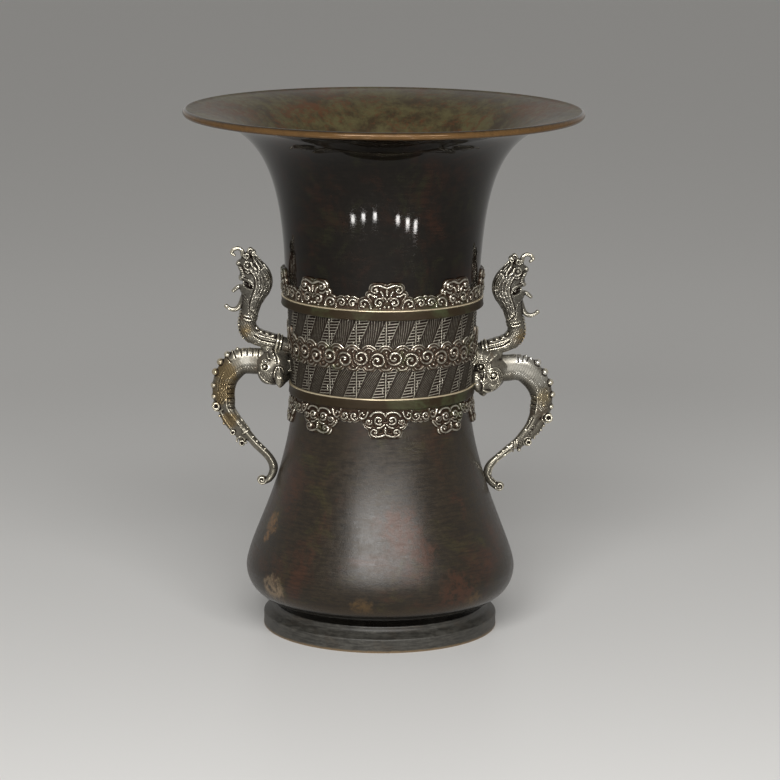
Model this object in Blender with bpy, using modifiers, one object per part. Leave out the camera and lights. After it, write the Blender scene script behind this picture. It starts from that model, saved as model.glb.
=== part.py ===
"""Bronze hu vase with a flared mouth, cloud borders and two beast handles, as the castings and pins it is built from.

Metres, +Z up, origin at the centre of the foot's underside. The two handles stand on the X axis.
"""

import math

import bmesh
import bpy

# Heights of the vessel, stacked from the floor up
FOOT_HEIGHT = 0.0165
BELLY_HEIGHT = 0.1478
LOWER_FILLET_HEIGHT = 0.0075
COLLAR_HEIGHT = 0.0541
UPPER_FILLET_HEIGHT = 0.0071
NECK_HEIGHT = 0.1270

# Radii of the vessel
FOOT_RADIUS = 0.0809
FOOT_SHOULDER_RADIUS = 0.0752
FOOT_NECK_RADIUS = 0.0732
BELLY_RADIUS = 0.0930
COLLAR_BOTTOM_RADIUS = 0.0622
RIM_RADIUS = 0.1364

# How far the collar widens to its top, the fillets and the neck stand out from it and the belly is set back from it
COLLAR_FLARE = 0.0024
LOWER_FILLET_STAND = 0.0018
UPPER_FILLET_STAND = 0.0048
BELLY_TOP_SETBACK = 0.0020
NECK_STAND = 0.0017

# Walls, seats and clearances
WALL = 0.0036
FIT_GAP = 0.0003
SPIGOT_LENGTH = 0.0060
SPIGOT_WALL = 0.0030
FOOT_BAND_HEIGHT = 0.0098
FOOT_SHOULDER_HEIGHT = 0.0027
FOOT_RIM_WIDTH = 0.0045
FOOT_BORE_RADIUS = 0.0690
FOOT_BORE_DEPTH = 0.0075
FOOT_SPIGOT_DEPTH = 0.0035
FOOT_NECK_HEIGHT = 0.0040
PLATE_THICKNESS = 0.0032
PLATE_LEDGE = 0.0042
UPPER_FILLET_CHAMFER = 0.0012
LOWER_FILLET_CHAMFER = 0.0006

# How the belly and the neck curve, as the lengths of the arms of their curves
BELLY_WIDEST_RISE = 0.0265
BELLY_UPPER_ARM = 0.0630
BELLY_UPPER_SPREAD = 0.0048
BELLY_MIDDLE_ARM = 0.0190
BELLY_MIDDLE_PINCH = 0.0015
BELLY_LOWER_ARM = 0.0120
BELLY_UNDER_ARM = 0.0128
BELLY_UNDER_RISE = 0.0020
NECK_UPRIGHT_ARM = 0.0720
NECK_SPREAD = 0.0020
MOUTH_ARM = 0.0560
MOUTH_DROP = 0.0045

# Cloud borders
CUSPS = 8
CUSP_FLAT_ANGLE = math.radians(7.0)
CUSP_FOOT_ANGLE = math.radians(13.0)
CUSP_RISE = 0.0095
BORDER_RUN = 0.0088
BORDER_RELIEF = 0.0032
GIRDLE_RELIEF = 0.0034
GIRDLE_HEIGHT = 0.0166
GIRDLE_DROP = 0.0183
GIRDLE_END_ANGLE = math.radians(10.0)
GIRDLE_LEAF_ANGLE = math.radians(14.0)
GIRDLE_LEAF_RISE = 0.0080
RELIEF_TOP_SHARE = 0.75

# Handles, placed by how far they stand above the joint under the collar
HEAD_RISE = 0.0085
TENON_RISE = 0.0150
TENON_WIDTH = 0.0090
TENON_HEIGHT = 0.0080
TENON_REACH = 0.0062
PIN_RADIUS = 0.0014
PIN_LENGTH = 0.0122
PEG_RADIUS = 0.0030
PEG_REACH = 0.0020
NECK_ROOT_RISE = 0.0254

# Beast head, as (rise, back, front, half width): distances out from the head's seat on the collar
HEAD_SECTIONS = (
    (0.0180, 0.0000, 0.0066, 0.0070),
    (0.0140, 0.0000, 0.0112, 0.0090),
    (0.0080, 0.0000, 0.0158, 0.0100),
    (0.0010, 0.0000, 0.0188, 0.0102),
    (-0.0055, 0.0000, 0.0198, 0.0096),
    (-0.0105, 0.0016, 0.0168, 0.0076),
    (-0.0140, 0.0036, 0.0118, 0.0046),
    (-0.0158, 0.0052, 0.0068, 0.0014),
)

# Beast's body from the head out and down, as (out from the seat, rise over the head's middle, radius)
BODY_PATH = (
    (0.0097, 0.0040, 0.0060),
    (0.0187, 0.0046, 0.0078),
    (0.0277, 0.0049, 0.0083),
    (0.0357, 0.0033, 0.0084),
    (0.0424, -0.0013, 0.0080),
    (0.0460, -0.0090, 0.0076),
    (0.0466, -0.0185, 0.0073),
    (0.0447, -0.0275, 0.0073),
    (0.0405, -0.0362, 0.0074),
    (0.0343, -0.0442, 0.0068),
)

# Tail after the body, as (out from the belly's wall, rise over the head's middle, radius)
TAIL_PATH = (
    (0.0261, -0.0505, 0.0044),
    (0.0165, -0.0575, 0.0035),
    (0.0085, -0.0643, 0.0033),
    (0.0039, -0.0710, 0.0032),
    (0.0041, -0.0772, 0.0030),
    (0.0073, -0.0797, 0.0028),
    (0.0114, -0.0778, 0.0024),
    (0.0126, -0.0743, 0.0020),
)

# Dragon neck from the collar out and up, as (out from the seat, rise over the neck's root, radius)
DRAGON_NECK_PATH = (
    (0.0047, 0.0000, 0.0052),
    (0.0100, 0.0004, 0.0053),
    (0.0154, 0.0015, 0.0054),
    (0.0208, 0.0041, 0.0057),
    (0.0253, 0.0082, 0.0058),
    (0.0271, 0.0130, 0.0056),
    (0.0269, 0.0170, 0.0053),
)
DRAGON_PEG_OUT = 0.0254
DRAGON_PEG_RISE = 0.0240
DRAGON_PEG_RADIUS = 0.0030

# Dragon head, as (rise over the neck's root, back, front, half width)
DRAGON_SECTIONS = (
    (0.0172, 0.0212, 0.0328, 0.0058),
    (0.0216, 0.0192, 0.0312, 0.0062),
    (0.0266, 0.0177, 0.0307, 0.0068),
    (0.0316, 0.0150, 0.0305, 0.0074),
    (0.0376, 0.0120, 0.0320, 0.0080),
    (0.0426, 0.0112, 0.0337, 0.0082),
    (0.0476, 0.0117, 0.0349, 0.0080),
    (0.0526, 0.0129, 0.0357, 0.0078),
    (0.0566, 0.0157, 0.0350, 0.0074),
    (0.0606, 0.0197, 0.0317, 0.0062),
    (0.0646, 0.0227, 0.0292, 0.0044),
    (0.0668, 0.0242, 0.0272, 0.0020),
)

# Curls on the dragon head, as (out from the seat, rise over the neck's root, radius)
HORN_PATH = (
    (0.0262, 0.0620, 0.0022),
    (0.0310, 0.0668, 0.0020),
    (0.0351, 0.0681, 0.0018),
    (0.0382, 0.0658, 0.0015),
    (0.0374, 0.0620, 0.0012),
)
BEARD_PATH = (
    (0.0290, 0.0440, 0.0026),
    (0.0340, 0.0415, 0.0018),
    (0.0376, 0.0372, 0.0008),
)
WHISKER_PATH = (
    (0.0272, 0.0330, 0.0020),
    (0.0320, 0.0272, 0.0017),
    (0.0362, 0.0245, 0.0015),
    (0.0398, 0.0256, 0.0013),
    (0.0419, 0.0284, 0.0010),
)

# How finely round shapes are divided
TURN_STEPS = 48
BORDER_STEPS = 96
BELLY_SAMPLES = 8
NECK_SAMPLES = 11
LIP_SAMPLES = 6
PATH_SAMPLES = 2
SECTION_POINTS = 14
SECTION_SQUARENESS = 2.6
TUBE_RESOLUTION = 2
PIN_SIDES = 12
WELD_DISTANCE = 0.000002
SHARP_ANGLE = math.radians(40.0)

# Heights and radii that follow from the sizes above
LOWER_FILLET_Z = FOOT_HEIGHT + BELLY_HEIGHT
COLLAR_Z = LOWER_FILLET_Z + LOWER_FILLET_HEIGHT
UPPER_FILLET_Z = COLLAR_Z + COLLAR_HEIGHT
NECK_Z = UPPER_FILLET_Z + UPPER_FILLET_HEIGHT
TOP_Z = NECK_Z + NECK_HEIGHT
NECK_SHOULDER_Z = NECK_Z + FIT_GAP
LOWER_JOINT_Z = LOWER_FILLET_Z + LOWER_FILLET_HEIGHT / 2
UPPER_JOINT_Z = UPPER_FILLET_Z + UPPER_FILLET_HEIGHT / 2
COLLAR_TOP_RADIUS = COLLAR_BOTTOM_RADIUS + COLLAR_FLARE
LOWER_FILLET_RADIUS = COLLAR_BOTTOM_RADIUS + LOWER_FILLET_STAND
UPPER_FILLET_RADIUS = COLLAR_TOP_RADIUS + UPPER_FILLET_STAND
BELLY_TOP_RADIUS = COLLAR_BOTTOM_RADIUS - BELLY_TOP_SETBACK
NECK_RADIUS = COLLAR_TOP_RADIUS + NECK_STAND
LIP_RADIUS = WALL / math.sqrt(2.0)
HEAD_Z = LOWER_JOINT_Z + HEAD_RISE
TENON_Z = LOWER_JOINT_Z + TENON_RISE
NECK_ROOT_Z = LOWER_JOINT_Z + NECK_ROOT_RISE
GIRDLE_TOP_Z = UPPER_FILLET_Z - GIRDLE_DROP
PLATE_Z = FOOT_HEIGHT - FOOT_SPIGOT_DEPTH


def collar_radius(height):
    """Outer radius of the tapered collar at a height."""
    share = (height - LOWER_JOINT_Z) / (UPPER_JOINT_Z - LOWER_JOINT_Z)
    return COLLAR_BOTTOM_RADIUS + share * (COLLAR_TOP_RADIUS - COLLAR_BOTTOM_RADIUS)


def bezier(start, first_arm, second_arm, end, samples):
    """Points along a cubic curve, both ends included."""
    points = []
    for index in range(samples):
        t = index / (samples - 1)
        weights = ((1 - t) ** 3, 3 * t * (1 - t) ** 2, 3 * t * t * (1 - t), t ** 3)
        corners = (start, first_arm, second_arm, end)
        radius = sum(weight * corner[0] for weight, corner in zip(weights, corners))
        height = sum(weight * corner[1] for weight, corner in zip(weights, corners))
        points.append((radius, height))
    return points


def offset(points, distance):
    """Points moved to the left of the way the line runs."""
    moved = []
    for index, (radius, height) in enumerate(points):
        before = points[max(index - 1, 0)]
        after = points[min(index + 1, len(points) - 1)]
        step_out = after[0] - before[0]
        step_up = after[1] - before[1]
        length = math.hypot(step_out, step_up)
        moved.append((radius - distance * step_up / length, height + distance * step_out / length))
    return moved


def radius_on(points, height):
    """Radius of a profile at a height, along the straight steps that the mesh takes."""
    for (radius_a, height_a), (radius_b, height_b) in zip(points, points[1:]):
        low, high = min(height_a, height_b), max(height_a, height_b)
        if low <= height <= high and high > low:
            return radius_a + (radius_b - radius_a) * (height - height_a) / (height_b - height_a)
    nearest = min(points, key=lambda point: abs(point[1] - height))
    return nearest[0]


def belly_curve():
    """Outer profile of the belly, from the lower fillet down to the foot's neck."""
    top = (BELLY_TOP_RADIUS, LOWER_FILLET_Z)
    widest_z = FOOT_HEIGHT + BELLY_WIDEST_RISE
    widest = (BELLY_RADIUS, widest_z)
    bottom = (FOOT_NECK_RADIUS, FOOT_HEIGHT + FOOT_NECK_HEIGHT)
    upper = bezier(
        top,
        (top[0] + BELLY_UPPER_SPREAD, top[1] - BELLY_UPPER_ARM),
        (widest[0] - BELLY_MIDDLE_PINCH, widest_z + BELLY_MIDDLE_ARM),
        widest,
        BELLY_SAMPLES,
    )
    lower = bezier(
        widest,
        (widest[0], widest_z - BELLY_LOWER_ARM),
        (bottom[0] + BELLY_UNDER_ARM, bottom[1] + BELLY_UNDER_RISE),
        bottom,
        BELLY_SAMPLES,
    )
    return upper + lower[1:]


def neck_curve():
    """Outer profile of the neck, from its shoulder on the upper fillet up and out to the underside of the lip."""
    lip_out = RIM_RADIUS - LIP_RADIUS
    lip_z = TOP_Z - LIP_RADIUS
    end = (lip_out - LIP_RADIUS / math.sqrt(2.0), lip_z - LIP_RADIUS / math.sqrt(2.0))
    return bezier(
        (NECK_RADIUS, NECK_SHOULDER_Z),
        (NECK_RADIUS + NECK_SPREAD, NECK_SHOULDER_Z + NECK_UPRIGHT_ARM),
        (end[0] - MOUTH_ARM, end[1] - MOUTH_DROP),
        end,
        NECK_SAMPLES,
    )


BELLY_CURVE = belly_curve()
NECK_CURVE = neck_curve()
HEAD_SEAT = max(LOWER_FILLET_RADIUS, collar_radius(HEAD_Z + HEAD_SECTIONS[0][0])) + FIT_GAP

# Scene, collections and materials
for old in list(bpy.data.objects):
    bpy.data.objects.remove(old)

PARTS = bpy.data.collections.new("bronze_hu_vase")
bpy.context.scene.collection.children.link(PARTS)
CUTTERS = bpy.data.collections.new("cutters")
CUTTERS.hide_render = True
bpy.context.scene.collection.children.link(CUTTERS)


def bronze(name, colour, roughness):
    material = bpy.data.materials.new(name)
    material.use_nodes = True
    shader = material.node_tree.nodes["Principled BSDF"]
    shader.inputs["Base Color"].default_value = (*colour, 1.0)
    shader.inputs["Metallic"].default_value = 0.6
    shader.inputs["Roughness"].default_value = roughness
    return material


DARK_PATINA = bronze("dark_patina", (0.030, 0.022, 0.018), 0.30)
FRET_PATINA = bronze("fret_patina", (0.045, 0.036, 0.028), 0.45)
CLOUD_PATINA = bronze("cloud_patina", (0.110, 0.062, 0.040), 0.45)
FILLET_BRONZE = bronze("fillet_bronze", (0.160, 0.115, 0.075), 0.38)
HANDLE_BRONZE = bronze("handle_bronze", (0.140, 0.110, 0.080), 0.40)
PIN_BRONZE = bronze("pin_bronze", (0.200, 0.150, 0.090), 0.45)


def added(name, data, material, collection=PARTS):
    obj = bpy.data.objects.new(name, data)
    data.materials.append(material)
    collection.objects.link(obj)
    if collection is CUTTERS:
        obj.hide_render = True
        obj.display_type = "WIRE"
    return obj


def turned(name, profile, material, closed=True):
    """A profile of (radius, height) points, running down its outer side, turned about the Z axis."""
    mesh = bpy.data.meshes.new(name)
    points = [(radius, 0.0, height) for radius, height in profile]
    edges = [(index, index + 1) for index in range(len(points) - 1)]
    if closed:
        edges.append((len(points) - 1, 0))
    mesh.from_pydata(points, edges, [])
    obj = added(name, mesh, material)
    screw = obj.modifiers.new("turn", "SCREW")
    screw.axis = "Z"
    screw.angle = 2 * math.pi
    screw.steps = TURN_STEPS
    screw.render_steps = TURN_STEPS
    screw.use_merge_vertices = True
    screw.merge_threshold = 0.00001
    return obj


def lofted(name, rings, material, hoop=False, collection=PARTS):
    """A solid skinned over rings of points: a hoop joins the last ring to the first, and other rows are capped."""
    count = len(rings[0])
    points = [point for ring in rings for point in ring]
    faces = []
    spans = len(rings) if hoop else len(rings) - 1
    for span in range(spans):
        here = span * count
        there = (span + 1) % len(rings) * count
        for index in range(count):
            after = (index + 1) % count
            faces.append((here + index, here + after, there + after, there + index))
    if not hoop:
        faces.append(tuple(range(count)))
        faces.append(tuple(range(len(points) - count, len(points))))
    mesh = bpy.data.meshes.new(name)
    mesh.from_pydata(points, [], faces)
    faced_out(mesh)
    return added(name, mesh, material, collection)


def faced_out(mesh):
    """Welds the points that coincide and turns every face outwards."""
    shape = bmesh.new()
    shape.from_mesh(mesh)
    bmesh.ops.remove_doubles(shape, verts=shape.verts, dist=WELD_DISTANCE)
    bmesh.ops.recalc_face_normals(shape, faces=shape.faces)
    shape.to_mesh(mesh)
    shape.free()
    mesh.shade_smooth()
    mesh.set_sharp_from_angle(angle=SHARP_ANGLE)


def settled(obj):
    """The object with its curve and modifiers made into a plain mesh."""
    bpy.context.view_layer.update()
    graph = bpy.context.evaluated_depsgraph_get()
    mesh = bpy.data.meshes.new_from_object(obj.evaluated_get(graph))
    faced_out(mesh)
    name = obj.name
    collection = obj.users_collection[0]
    material = obj.data.materials[0]
    bpy.data.objects.remove(obj)
    mesh.name = name
    mesh.materials.clear()
    return added(name, mesh, material, collection)


def smooth_path(path):
    """Points and radii on an even curve through every point of a path of (x, y, z, radius)."""
    smooth = []
    for index in range(len(path) - 1):
        a = path[max(index - 1, 0)]
        b = path[index]
        c = path[index + 1]
        d = path[min(index + 2, len(path) - 1)]
        for step in range(PATH_SAMPLES):
            t = step / PATH_SAMPLES
            smooth.append(tuple(
                0.5 * (2 * q + (r - p) * t + (2 * p - 5 * q + 4 * r - s) * t ** 2 + (3 * q - p - 3 * r + s) * t ** 3)
                for p, q, r, s in zip(a, b, c, d)
            ))
    return smooth + [path[-1]]


def tube(name, path, material, extra=0.0, collection=PARTS):
    """A capped tube along a path of (x, y, z, radius), thickened by an extra amount for a cutter."""
    curve = bpy.data.curves.new(name, "CURVE")
    curve.dimensions = "3D"
    curve.bevel_depth = 1.0
    curve.bevel_resolution = TUBE_RESOLUTION
    curve.use_fill_caps = True
    spline = curve.splines.new("POLY")
    spline.points.add(len(path) - 1)
    for point, (x, y, z, radius) in zip(spline.points, path):
        point.co = (x, y, z, 1.0)
        point.radius = radius + extra
    return settled(added(name, curve, material, collection))


def joined(obj, other, operation):
    """The object after an exact Boolean with another, which is left as a hidden cutter."""
    change = obj.modifiers.new(operation.lower(), "BOOLEAN")
    change.operation = operation
    change.solver = "EXACT"
    change.object = other
    return settled(obj)


def block(name, low, high, material, collection=CUTTERS):
    """A box between two corners."""
    ring = ((low[0], low[1]), (high[0], low[1]), (high[0], high[1]), (low[0], high[1]))
    rings = [[(x, y, z) for x, y in ring] for z in (low[2], high[2])]
    return lofted(name, rings, material, collection=collection)


def upright_rod(name, x, low_z, high_z, radius, material, collection=CUTTERS):
    """A round rod along Z, centred on the plane of the handles."""
    rings = []
    for z in (low_z, high_z):
        angles = [2 * math.pi * index / PIN_SIDES for index in range(PIN_SIDES)]
        rings.append([(x + radius * math.cos(angle), radius * math.sin(angle), z) for angle in angles])
    return lofted(name, rings, material, collection=collection)


def squarish_ring(back, front, half_width, z):
    """A closed ring between an oval and a box, lying flat at a height."""
    ring = []
    middle = (back + front) / 2
    half_depth = (front - back) / 2
    for index in range(SECTION_POINTS):
        angle = 2 * math.pi * index / SECTION_POINTS
        across = math.cos(angle)
        along = math.sin(angle)
        share = (abs(across) ** SECTION_SQUARENESS + abs(along) ** SECTION_SQUARENESS) ** (-1 / SECTION_SQUARENESS)
        ring.append((middle + half_depth * share * across, half_width * share * along, z))
    return ring


def copied_across(obj, name):
    """The same casting on the other side of the vase, turned half round the axis."""
    copy = bpy.data.objects.new(name, obj.data)
    copy.rotation_euler = (0.0, 0.0, math.pi)
    PARTS.objects.link(copy)
    return copy


# Vessel castings: foot, base plate, belly, collar and neck
foot_spigot_radius = FOOT_BORE_RADIUS - FIT_GAP
foot_inner_radius = FOOT_RADIUS - FOOT_RIM_WIDTH
foot_roof_z = FOOT_HEIGHT - FOOT_BORE_DEPTH
turned(
    "foot_ring",
    [
        (FOOT_NECK_RADIUS, FOOT_HEIGHT),
        (FOOT_SHOULDER_RADIUS, FOOT_BAND_HEIGHT + FOOT_SHOULDER_HEIGHT),
        (FOOT_RADIUS, FOOT_BAND_HEIGHT),
        (FOOT_RADIUS, 0.0),
        (foot_inner_radius, 0.0),
        (foot_inner_radius, foot_roof_z - FOOT_RIM_WIDTH / 2),
        (FOOT_BORE_RADIUS, foot_roof_z),
        (FOOT_BORE_RADIUS, FOOT_HEIGHT),
    ],
    DARK_PATINA,
)

rebate_radius = foot_spigot_radius - SPIGOT_WALL
plate_top_z = PLATE_Z + PLATE_THICKNESS
turned(
    "base_plate",
    [
        (0.0, plate_top_z),
        (rebate_radius - FIT_GAP, plate_top_z),
        (rebate_radius - FIT_GAP, PLATE_Z),
        (0.0, PLATE_Z),
    ],
    DARK_PATINA,
    closed=False,
)

lower_spigot_radius = min(collar_radius(LOWER_JOINT_Z), collar_radius(LOWER_JOINT_Z + SPIGOT_LENGTH)) - WALL - FIT_GAP
ledge_z = plate_top_z + FIT_GAP
ledge_radius = rebate_radius - PLATE_LEDGE
belly_inside = offset(BELLY_CURVE, -WALL)
turned(
    "belly",
    [
        (lower_spigot_radius, LOWER_JOINT_Z + SPIGOT_LENGTH),
        (lower_spigot_radius, LOWER_JOINT_Z),
        (COLLAR_BOTTOM_RADIUS, LOWER_JOINT_Z),
        (COLLAR_BOTTOM_RADIUS, LOWER_FILLET_Z),
        *BELLY_CURVE,
        (FOOT_NECK_RADIUS, FOOT_HEIGHT + FIT_GAP),
        (foot_spigot_radius, FOOT_HEIGHT + FIT_GAP),
        (foot_spigot_radius, PLATE_Z),
        (rebate_radius, PLATE_Z),
        (rebate_radius, ledge_z),
        (ledge_radius, ledge_z),
        (ledge_radius, ledge_z + WALL),
        *reversed(belly_inside[1::2]),
        (lower_spigot_radius - SPIGOT_WALL, LOWER_FILLET_Z),
        (lower_spigot_radius - SPIGOT_WALL, LOWER_JOINT_Z + SPIGOT_LENGTH),
    ],
    DARK_PATINA,
)

collar = turned(
    "waist_collar",
    [
        (COLLAR_TOP_RADIUS, UPPER_JOINT_Z),
        (COLLAR_BOTTOM_RADIUS, LOWER_JOINT_Z + FIT_GAP),
        (COLLAR_BOTTOM_RADIUS - WALL, LOWER_JOINT_Z + FIT_GAP),
        (COLLAR_TOP_RADIUS - WALL, UPPER_JOINT_Z),
    ],
    FRET_PATINA,
)

spigot_foot_z = UPPER_JOINT_Z - SPIGOT_LENGTH
upper_spigot_radius = min(collar_radius(UPPER_JOINT_Z), collar_radius(spigot_foot_z)) - WALL - FIT_GAP
neck_inside = offset(NECK_CURVE, WALL)
lip = []
for index in range(1, LIP_SAMPLES):
    angle = math.radians(135.0 - 270.0 * index / LIP_SAMPLES)
    lip.append((
        RIM_RADIUS - LIP_RADIUS + LIP_RADIUS * math.cos(angle),
        TOP_Z - LIP_RADIUS + LIP_RADIUS * math.sin(angle),
    ))
turned(
    "trumpet_neck",
    [
        *lip,
        *reversed(NECK_CURVE),
        (COLLAR_TOP_RADIUS, NECK_SHOULDER_Z),
        (COLLAR_TOP_RADIUS, UPPER_JOINT_Z + FIT_GAP),
        (upper_spigot_radius, UPPER_JOINT_Z + FIT_GAP),
        (upper_spigot_radius, spigot_foot_z),
        (upper_spigot_radius - SPIGOT_WALL, spigot_foot_z),
        (upper_spigot_radius - SPIGOT_WALL, NECK_Z),
        *neck_inside[1:],
    ],
    DARK_PATINA,
)

# Fillet rings over the two joints
upper_bore = max(COLLAR_TOP_RADIUS, collar_radius(UPPER_FILLET_Z)) + FIT_GAP
lower_bore = max(COLLAR_BOTTOM_RADIUS, collar_radius(COLLAR_Z)) + FIT_GAP


def fillet(name, bore, radius, low_z, high_z, chamfer):
    return turned(
        name,
        [
            (bore, high_z),
            (radius - chamfer, high_z),
            (radius, high_z - chamfer),
            (radius, low_z + chamfer),
            (radius - chamfer, low_z),
            (bore, low_z),
        ],
        FILLET_BRONZE,
    )


fillet("upper_fillet", upper_bore, UPPER_FILLET_RADIUS, UPPER_FILLET_Z, NECK_Z, UPPER_FILLET_CHAMFER)
fillet("lower_fillet", lower_bore, LOWER_FILLET_RADIUS, LOWER_FILLET_Z, COLLAR_Z, LOWER_FILLET_CHAMFER)


# Cloud borders and girdle
def eased(share):
    """A rise from 0 to 1 that starts and ends level."""
    share = min(max(share, 0.0), 1.0)
    return share * share * (3 - 2 * share)


def cusp_share(azimuth):
    """How far up its cusp a border stands at an azimuth, from 0 to 1."""
    pitch = 2 * math.pi / CUSPS
    away = abs((azimuth + pitch / 2) % pitch - pitch / 2)
    return eased((CUSP_FOOT_ANGLE - away) / (CUSP_FOOT_ANGLE - CUSP_FLAT_ANGLE))


def band_section(azimuth, low_z, high_z, wall_radius, relief, top_share, bottom_share):
    """Four corners of a band that stands on a wall, at one azimuth."""
    corners = (
        (wall_radius(low_z) + FIT_GAP, low_z),
        (wall_radius(low_z) + FIT_GAP + relief * bottom_share, low_z),
        (wall_radius(high_z) + FIT_GAP + relief * top_share, high_z),
        (wall_radius(high_z) + FIT_GAP, high_z),
    )
    return [(radius * math.cos(azimuth), radius * math.sin(azimuth), z) for radius, z in corners]


upper_sections = []
lower_sections = []
for index in range(BORDER_STEPS):
    azimuth = 2 * math.pi * index / BORDER_STEPS
    reach = BORDER_RUN + CUSP_RISE * cusp_share(azimuth)
    upper_sections.append(band_section(
        azimuth,
        NECK_SHOULDER_Z,
        NECK_Z + reach,
        lambda height: radius_on(NECK_CURVE, height),
        BORDER_RELIEF,
        RELIEF_TOP_SHARE,
        1.0,
    ))
    lower_sections.append(band_section(
        azimuth,
        LOWER_FILLET_Z - reach,
        LOWER_FILLET_Z - FIT_GAP,
        lambda height: radius_on(BELLY_CURVE, height),
        BORDER_RELIEF,
        1.0,
        RELIEF_TOP_SHARE,
    ))
lofted("upper_cloud_border", upper_sections, CLOUD_PATINA, hoop=True)
lofted("lower_cloud_border", lower_sections, CLOUD_PATINA, hoop=True)

girdle_sections = []
girdle_start = -math.pi + GIRDLE_END_ANGLE
girdle_sweep = math.pi - 2 * GIRDLE_END_ANGLE
girdle_steps = BORDER_STEPS // 2
for index in range(girdle_steps + 1):
    azimuth = girdle_start + girdle_sweep * index / girdle_steps
    from_end = min(azimuth - girdle_start, girdle_start + girdle_sweep - azimuth)
    leaf = GIRDLE_LEAF_RISE * eased(1 - from_end / GIRDLE_LEAF_ANGLE)
    girdle_sections.append(band_section(
        azimuth,
        GIRDLE_TOP_Z - GIRDLE_HEIGHT,
        GIRDLE_TOP_Z + leaf,
        collar_radius,
        GIRDLE_RELIEF,
        RELIEF_TOP_SHARE,
        1.0,
    ))
front_girdle = lofted("front_cloud_girdle", girdle_sections, CLOUD_PATINA)
copied_across(front_girdle, "rear_cloud_girdle")

# Paths of the handles in the plane of the X axis
body_path = [(HEAD_SEAT + out, 0.0, HEAD_Z + rise, radius) for out, rise, radius in BODY_PATH]
for stand_off, rise, radius in TAIL_PATH:
    height = HEAD_Z + rise
    body_path.append((radius_on(BELLY_CURVE, height) + stand_off, 0.0, height, radius))
body_path = smooth_path(body_path)

neck_root_x = collar_radius(NECK_ROOT_Z + DRAGON_NECK_PATH[0][2]) + FIT_GAP
peg_start_x = collar_radius(NECK_ROOT_Z) - WALL - PEG_REACH
dragon_path = [(HEAD_SEAT + out, 0.0, NECK_ROOT_Z + rise, radius) for out, rise, radius in DRAGON_NECK_PATH]
root_radius = DRAGON_NECK_PATH[0][2]
dragon_path = smooth_path([(neck_root_x, 0.0, NECK_ROOT_Z, root_radius), *dragon_path])
shoulder_x, _, shoulder_z, shoulder_radius = dragon_path[-1]
dragon_path = [
    (peg_start_x, 0.0, NECK_ROOT_Z, PEG_RADIUS),
    (neck_root_x - FIT_GAP / 2, 0.0, NECK_ROOT_Z, PEG_RADIUS),
    *dragon_path,
    (shoulder_x, 0.0, shoulder_z + FIT_GAP, DRAGON_PEG_RADIUS),
    (HEAD_SEAT + DRAGON_PEG_OUT, 0.0, NECK_ROOT_Z + DRAGON_PEG_RISE, DRAGON_PEG_RADIUS),
]


def longer(path, amount):
    """A path with both its ends drawn out by an amount, for a cutter that clears its piece."""
    (x0, _, z0, r0), (x1, _, z1, _) = path[0], path[1]
    (x3, _, z3, r3), (x2, _, z2, _) = path[-1], path[-2]
    first = math.hypot(x0 - x1, z0 - z1)
    last = math.hypot(x3 - x2, z3 - z2)
    start = (x0 + amount * (x0 - x1) / first, 0.0, z0 + amount * (z0 - z1) / first, r0)
    end = (x3 + amount * (x3 - x2) / last, 0.0, z3 + amount * (z3 - z2) / last, r3)
    return [start, *path[1:-1], end]


body_cutter = tube("body_cutter", longer(body_path, FIT_GAP), HANDLE_BRONZE, FIT_GAP, CUTTERS)
dragon_cutter = tube("dragon_neck_cutter", longer(dragon_path, FIT_GAP), HANDLE_BRONZE, FIT_GAP, CUTTERS)
beast_body = tube("right_beast_body", body_path, HANDLE_BRONZE)
dragon_neck = tube("right_dragon_neck", dragon_path, HANDLE_BRONZE)

# Beast head with its tenon through the collar, and the pin that holds the tenon
head_rings = [
    squarish_ring(HEAD_SEAT + back, HEAD_SEAT + front, half_width, HEAD_Z + rise)
    for rise, back, front, half_width in HEAD_SECTIONS
]
beast_head = lofted("right_beast_head", head_rings, HANDLE_BRONZE)
tenon_tip_x = collar_radius(TENON_Z) - WALL - TENON_REACH
tenon_root_x = HEAD_SEAT + TENON_WIDTH / 2
tenon_low = (tenon_tip_x, -TENON_WIDTH / 2, TENON_Z - TENON_HEIGHT / 2)
tenon_high = (tenon_root_x, TENON_WIDTH / 2, TENON_Z + TENON_HEIGHT / 2)
beast_head = joined(beast_head, block("tenon", tenon_low, tenon_high, HANDLE_BRONZE), "UNION")
beast_head = joined(beast_head, body_cutter, "DIFFERENCE")
beast_head = joined(beast_head, dragon_cutter, "DIFFERENCE")

pin_low_z = TENON_Z - PIN_LENGTH / 2
pin_high_z = TENON_Z + PIN_LENGTH / 2
pin_x = min(collar_radius(pin_low_z), collar_radius(pin_high_z)) - WALL - PIN_RADIUS - 2 * FIT_GAP
pin_cutter = upright_rod("pin_cutter", pin_x, pin_low_z, pin_high_z, PIN_RADIUS + FIT_GAP, PIN_BRONZE)
beast_head = joined(beast_head, pin_cutter, "DIFFERENCE")
tenon_pin = upright_rod("right_tenon_pin", pin_x, pin_low_z, pin_high_z, PIN_RADIUS, PIN_BRONZE, PARTS)

# Dragon head with its horn, beard and whisker
dragon_rings = [
    squarish_ring(HEAD_SEAT + back, HEAD_SEAT + front, half_width, NECK_ROOT_Z + rise)
    for rise, back, front, half_width in DRAGON_SECTIONS
]
dragon_head = lofted("right_dragon_head", dragon_rings, HANDLE_BRONZE)
dragon_head = joined(dragon_head, dragon_cutter, "DIFFERENCE")
for curl_name, curl_path in (("horn", HORN_PATH), ("beard", BEARD_PATH), ("whisker", WHISKER_PATH)):
    placed = [(HEAD_SEAT + out, 0.0, NECK_ROOT_Z + rise, radius) for out, rise, radius in curl_path]
    curl = tube(curl_name, smooth_path(placed), HANDLE_BRONZE, collection=CUTTERS)
    dragon_head = joined(dragon_head, curl, "UNION")

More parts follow.
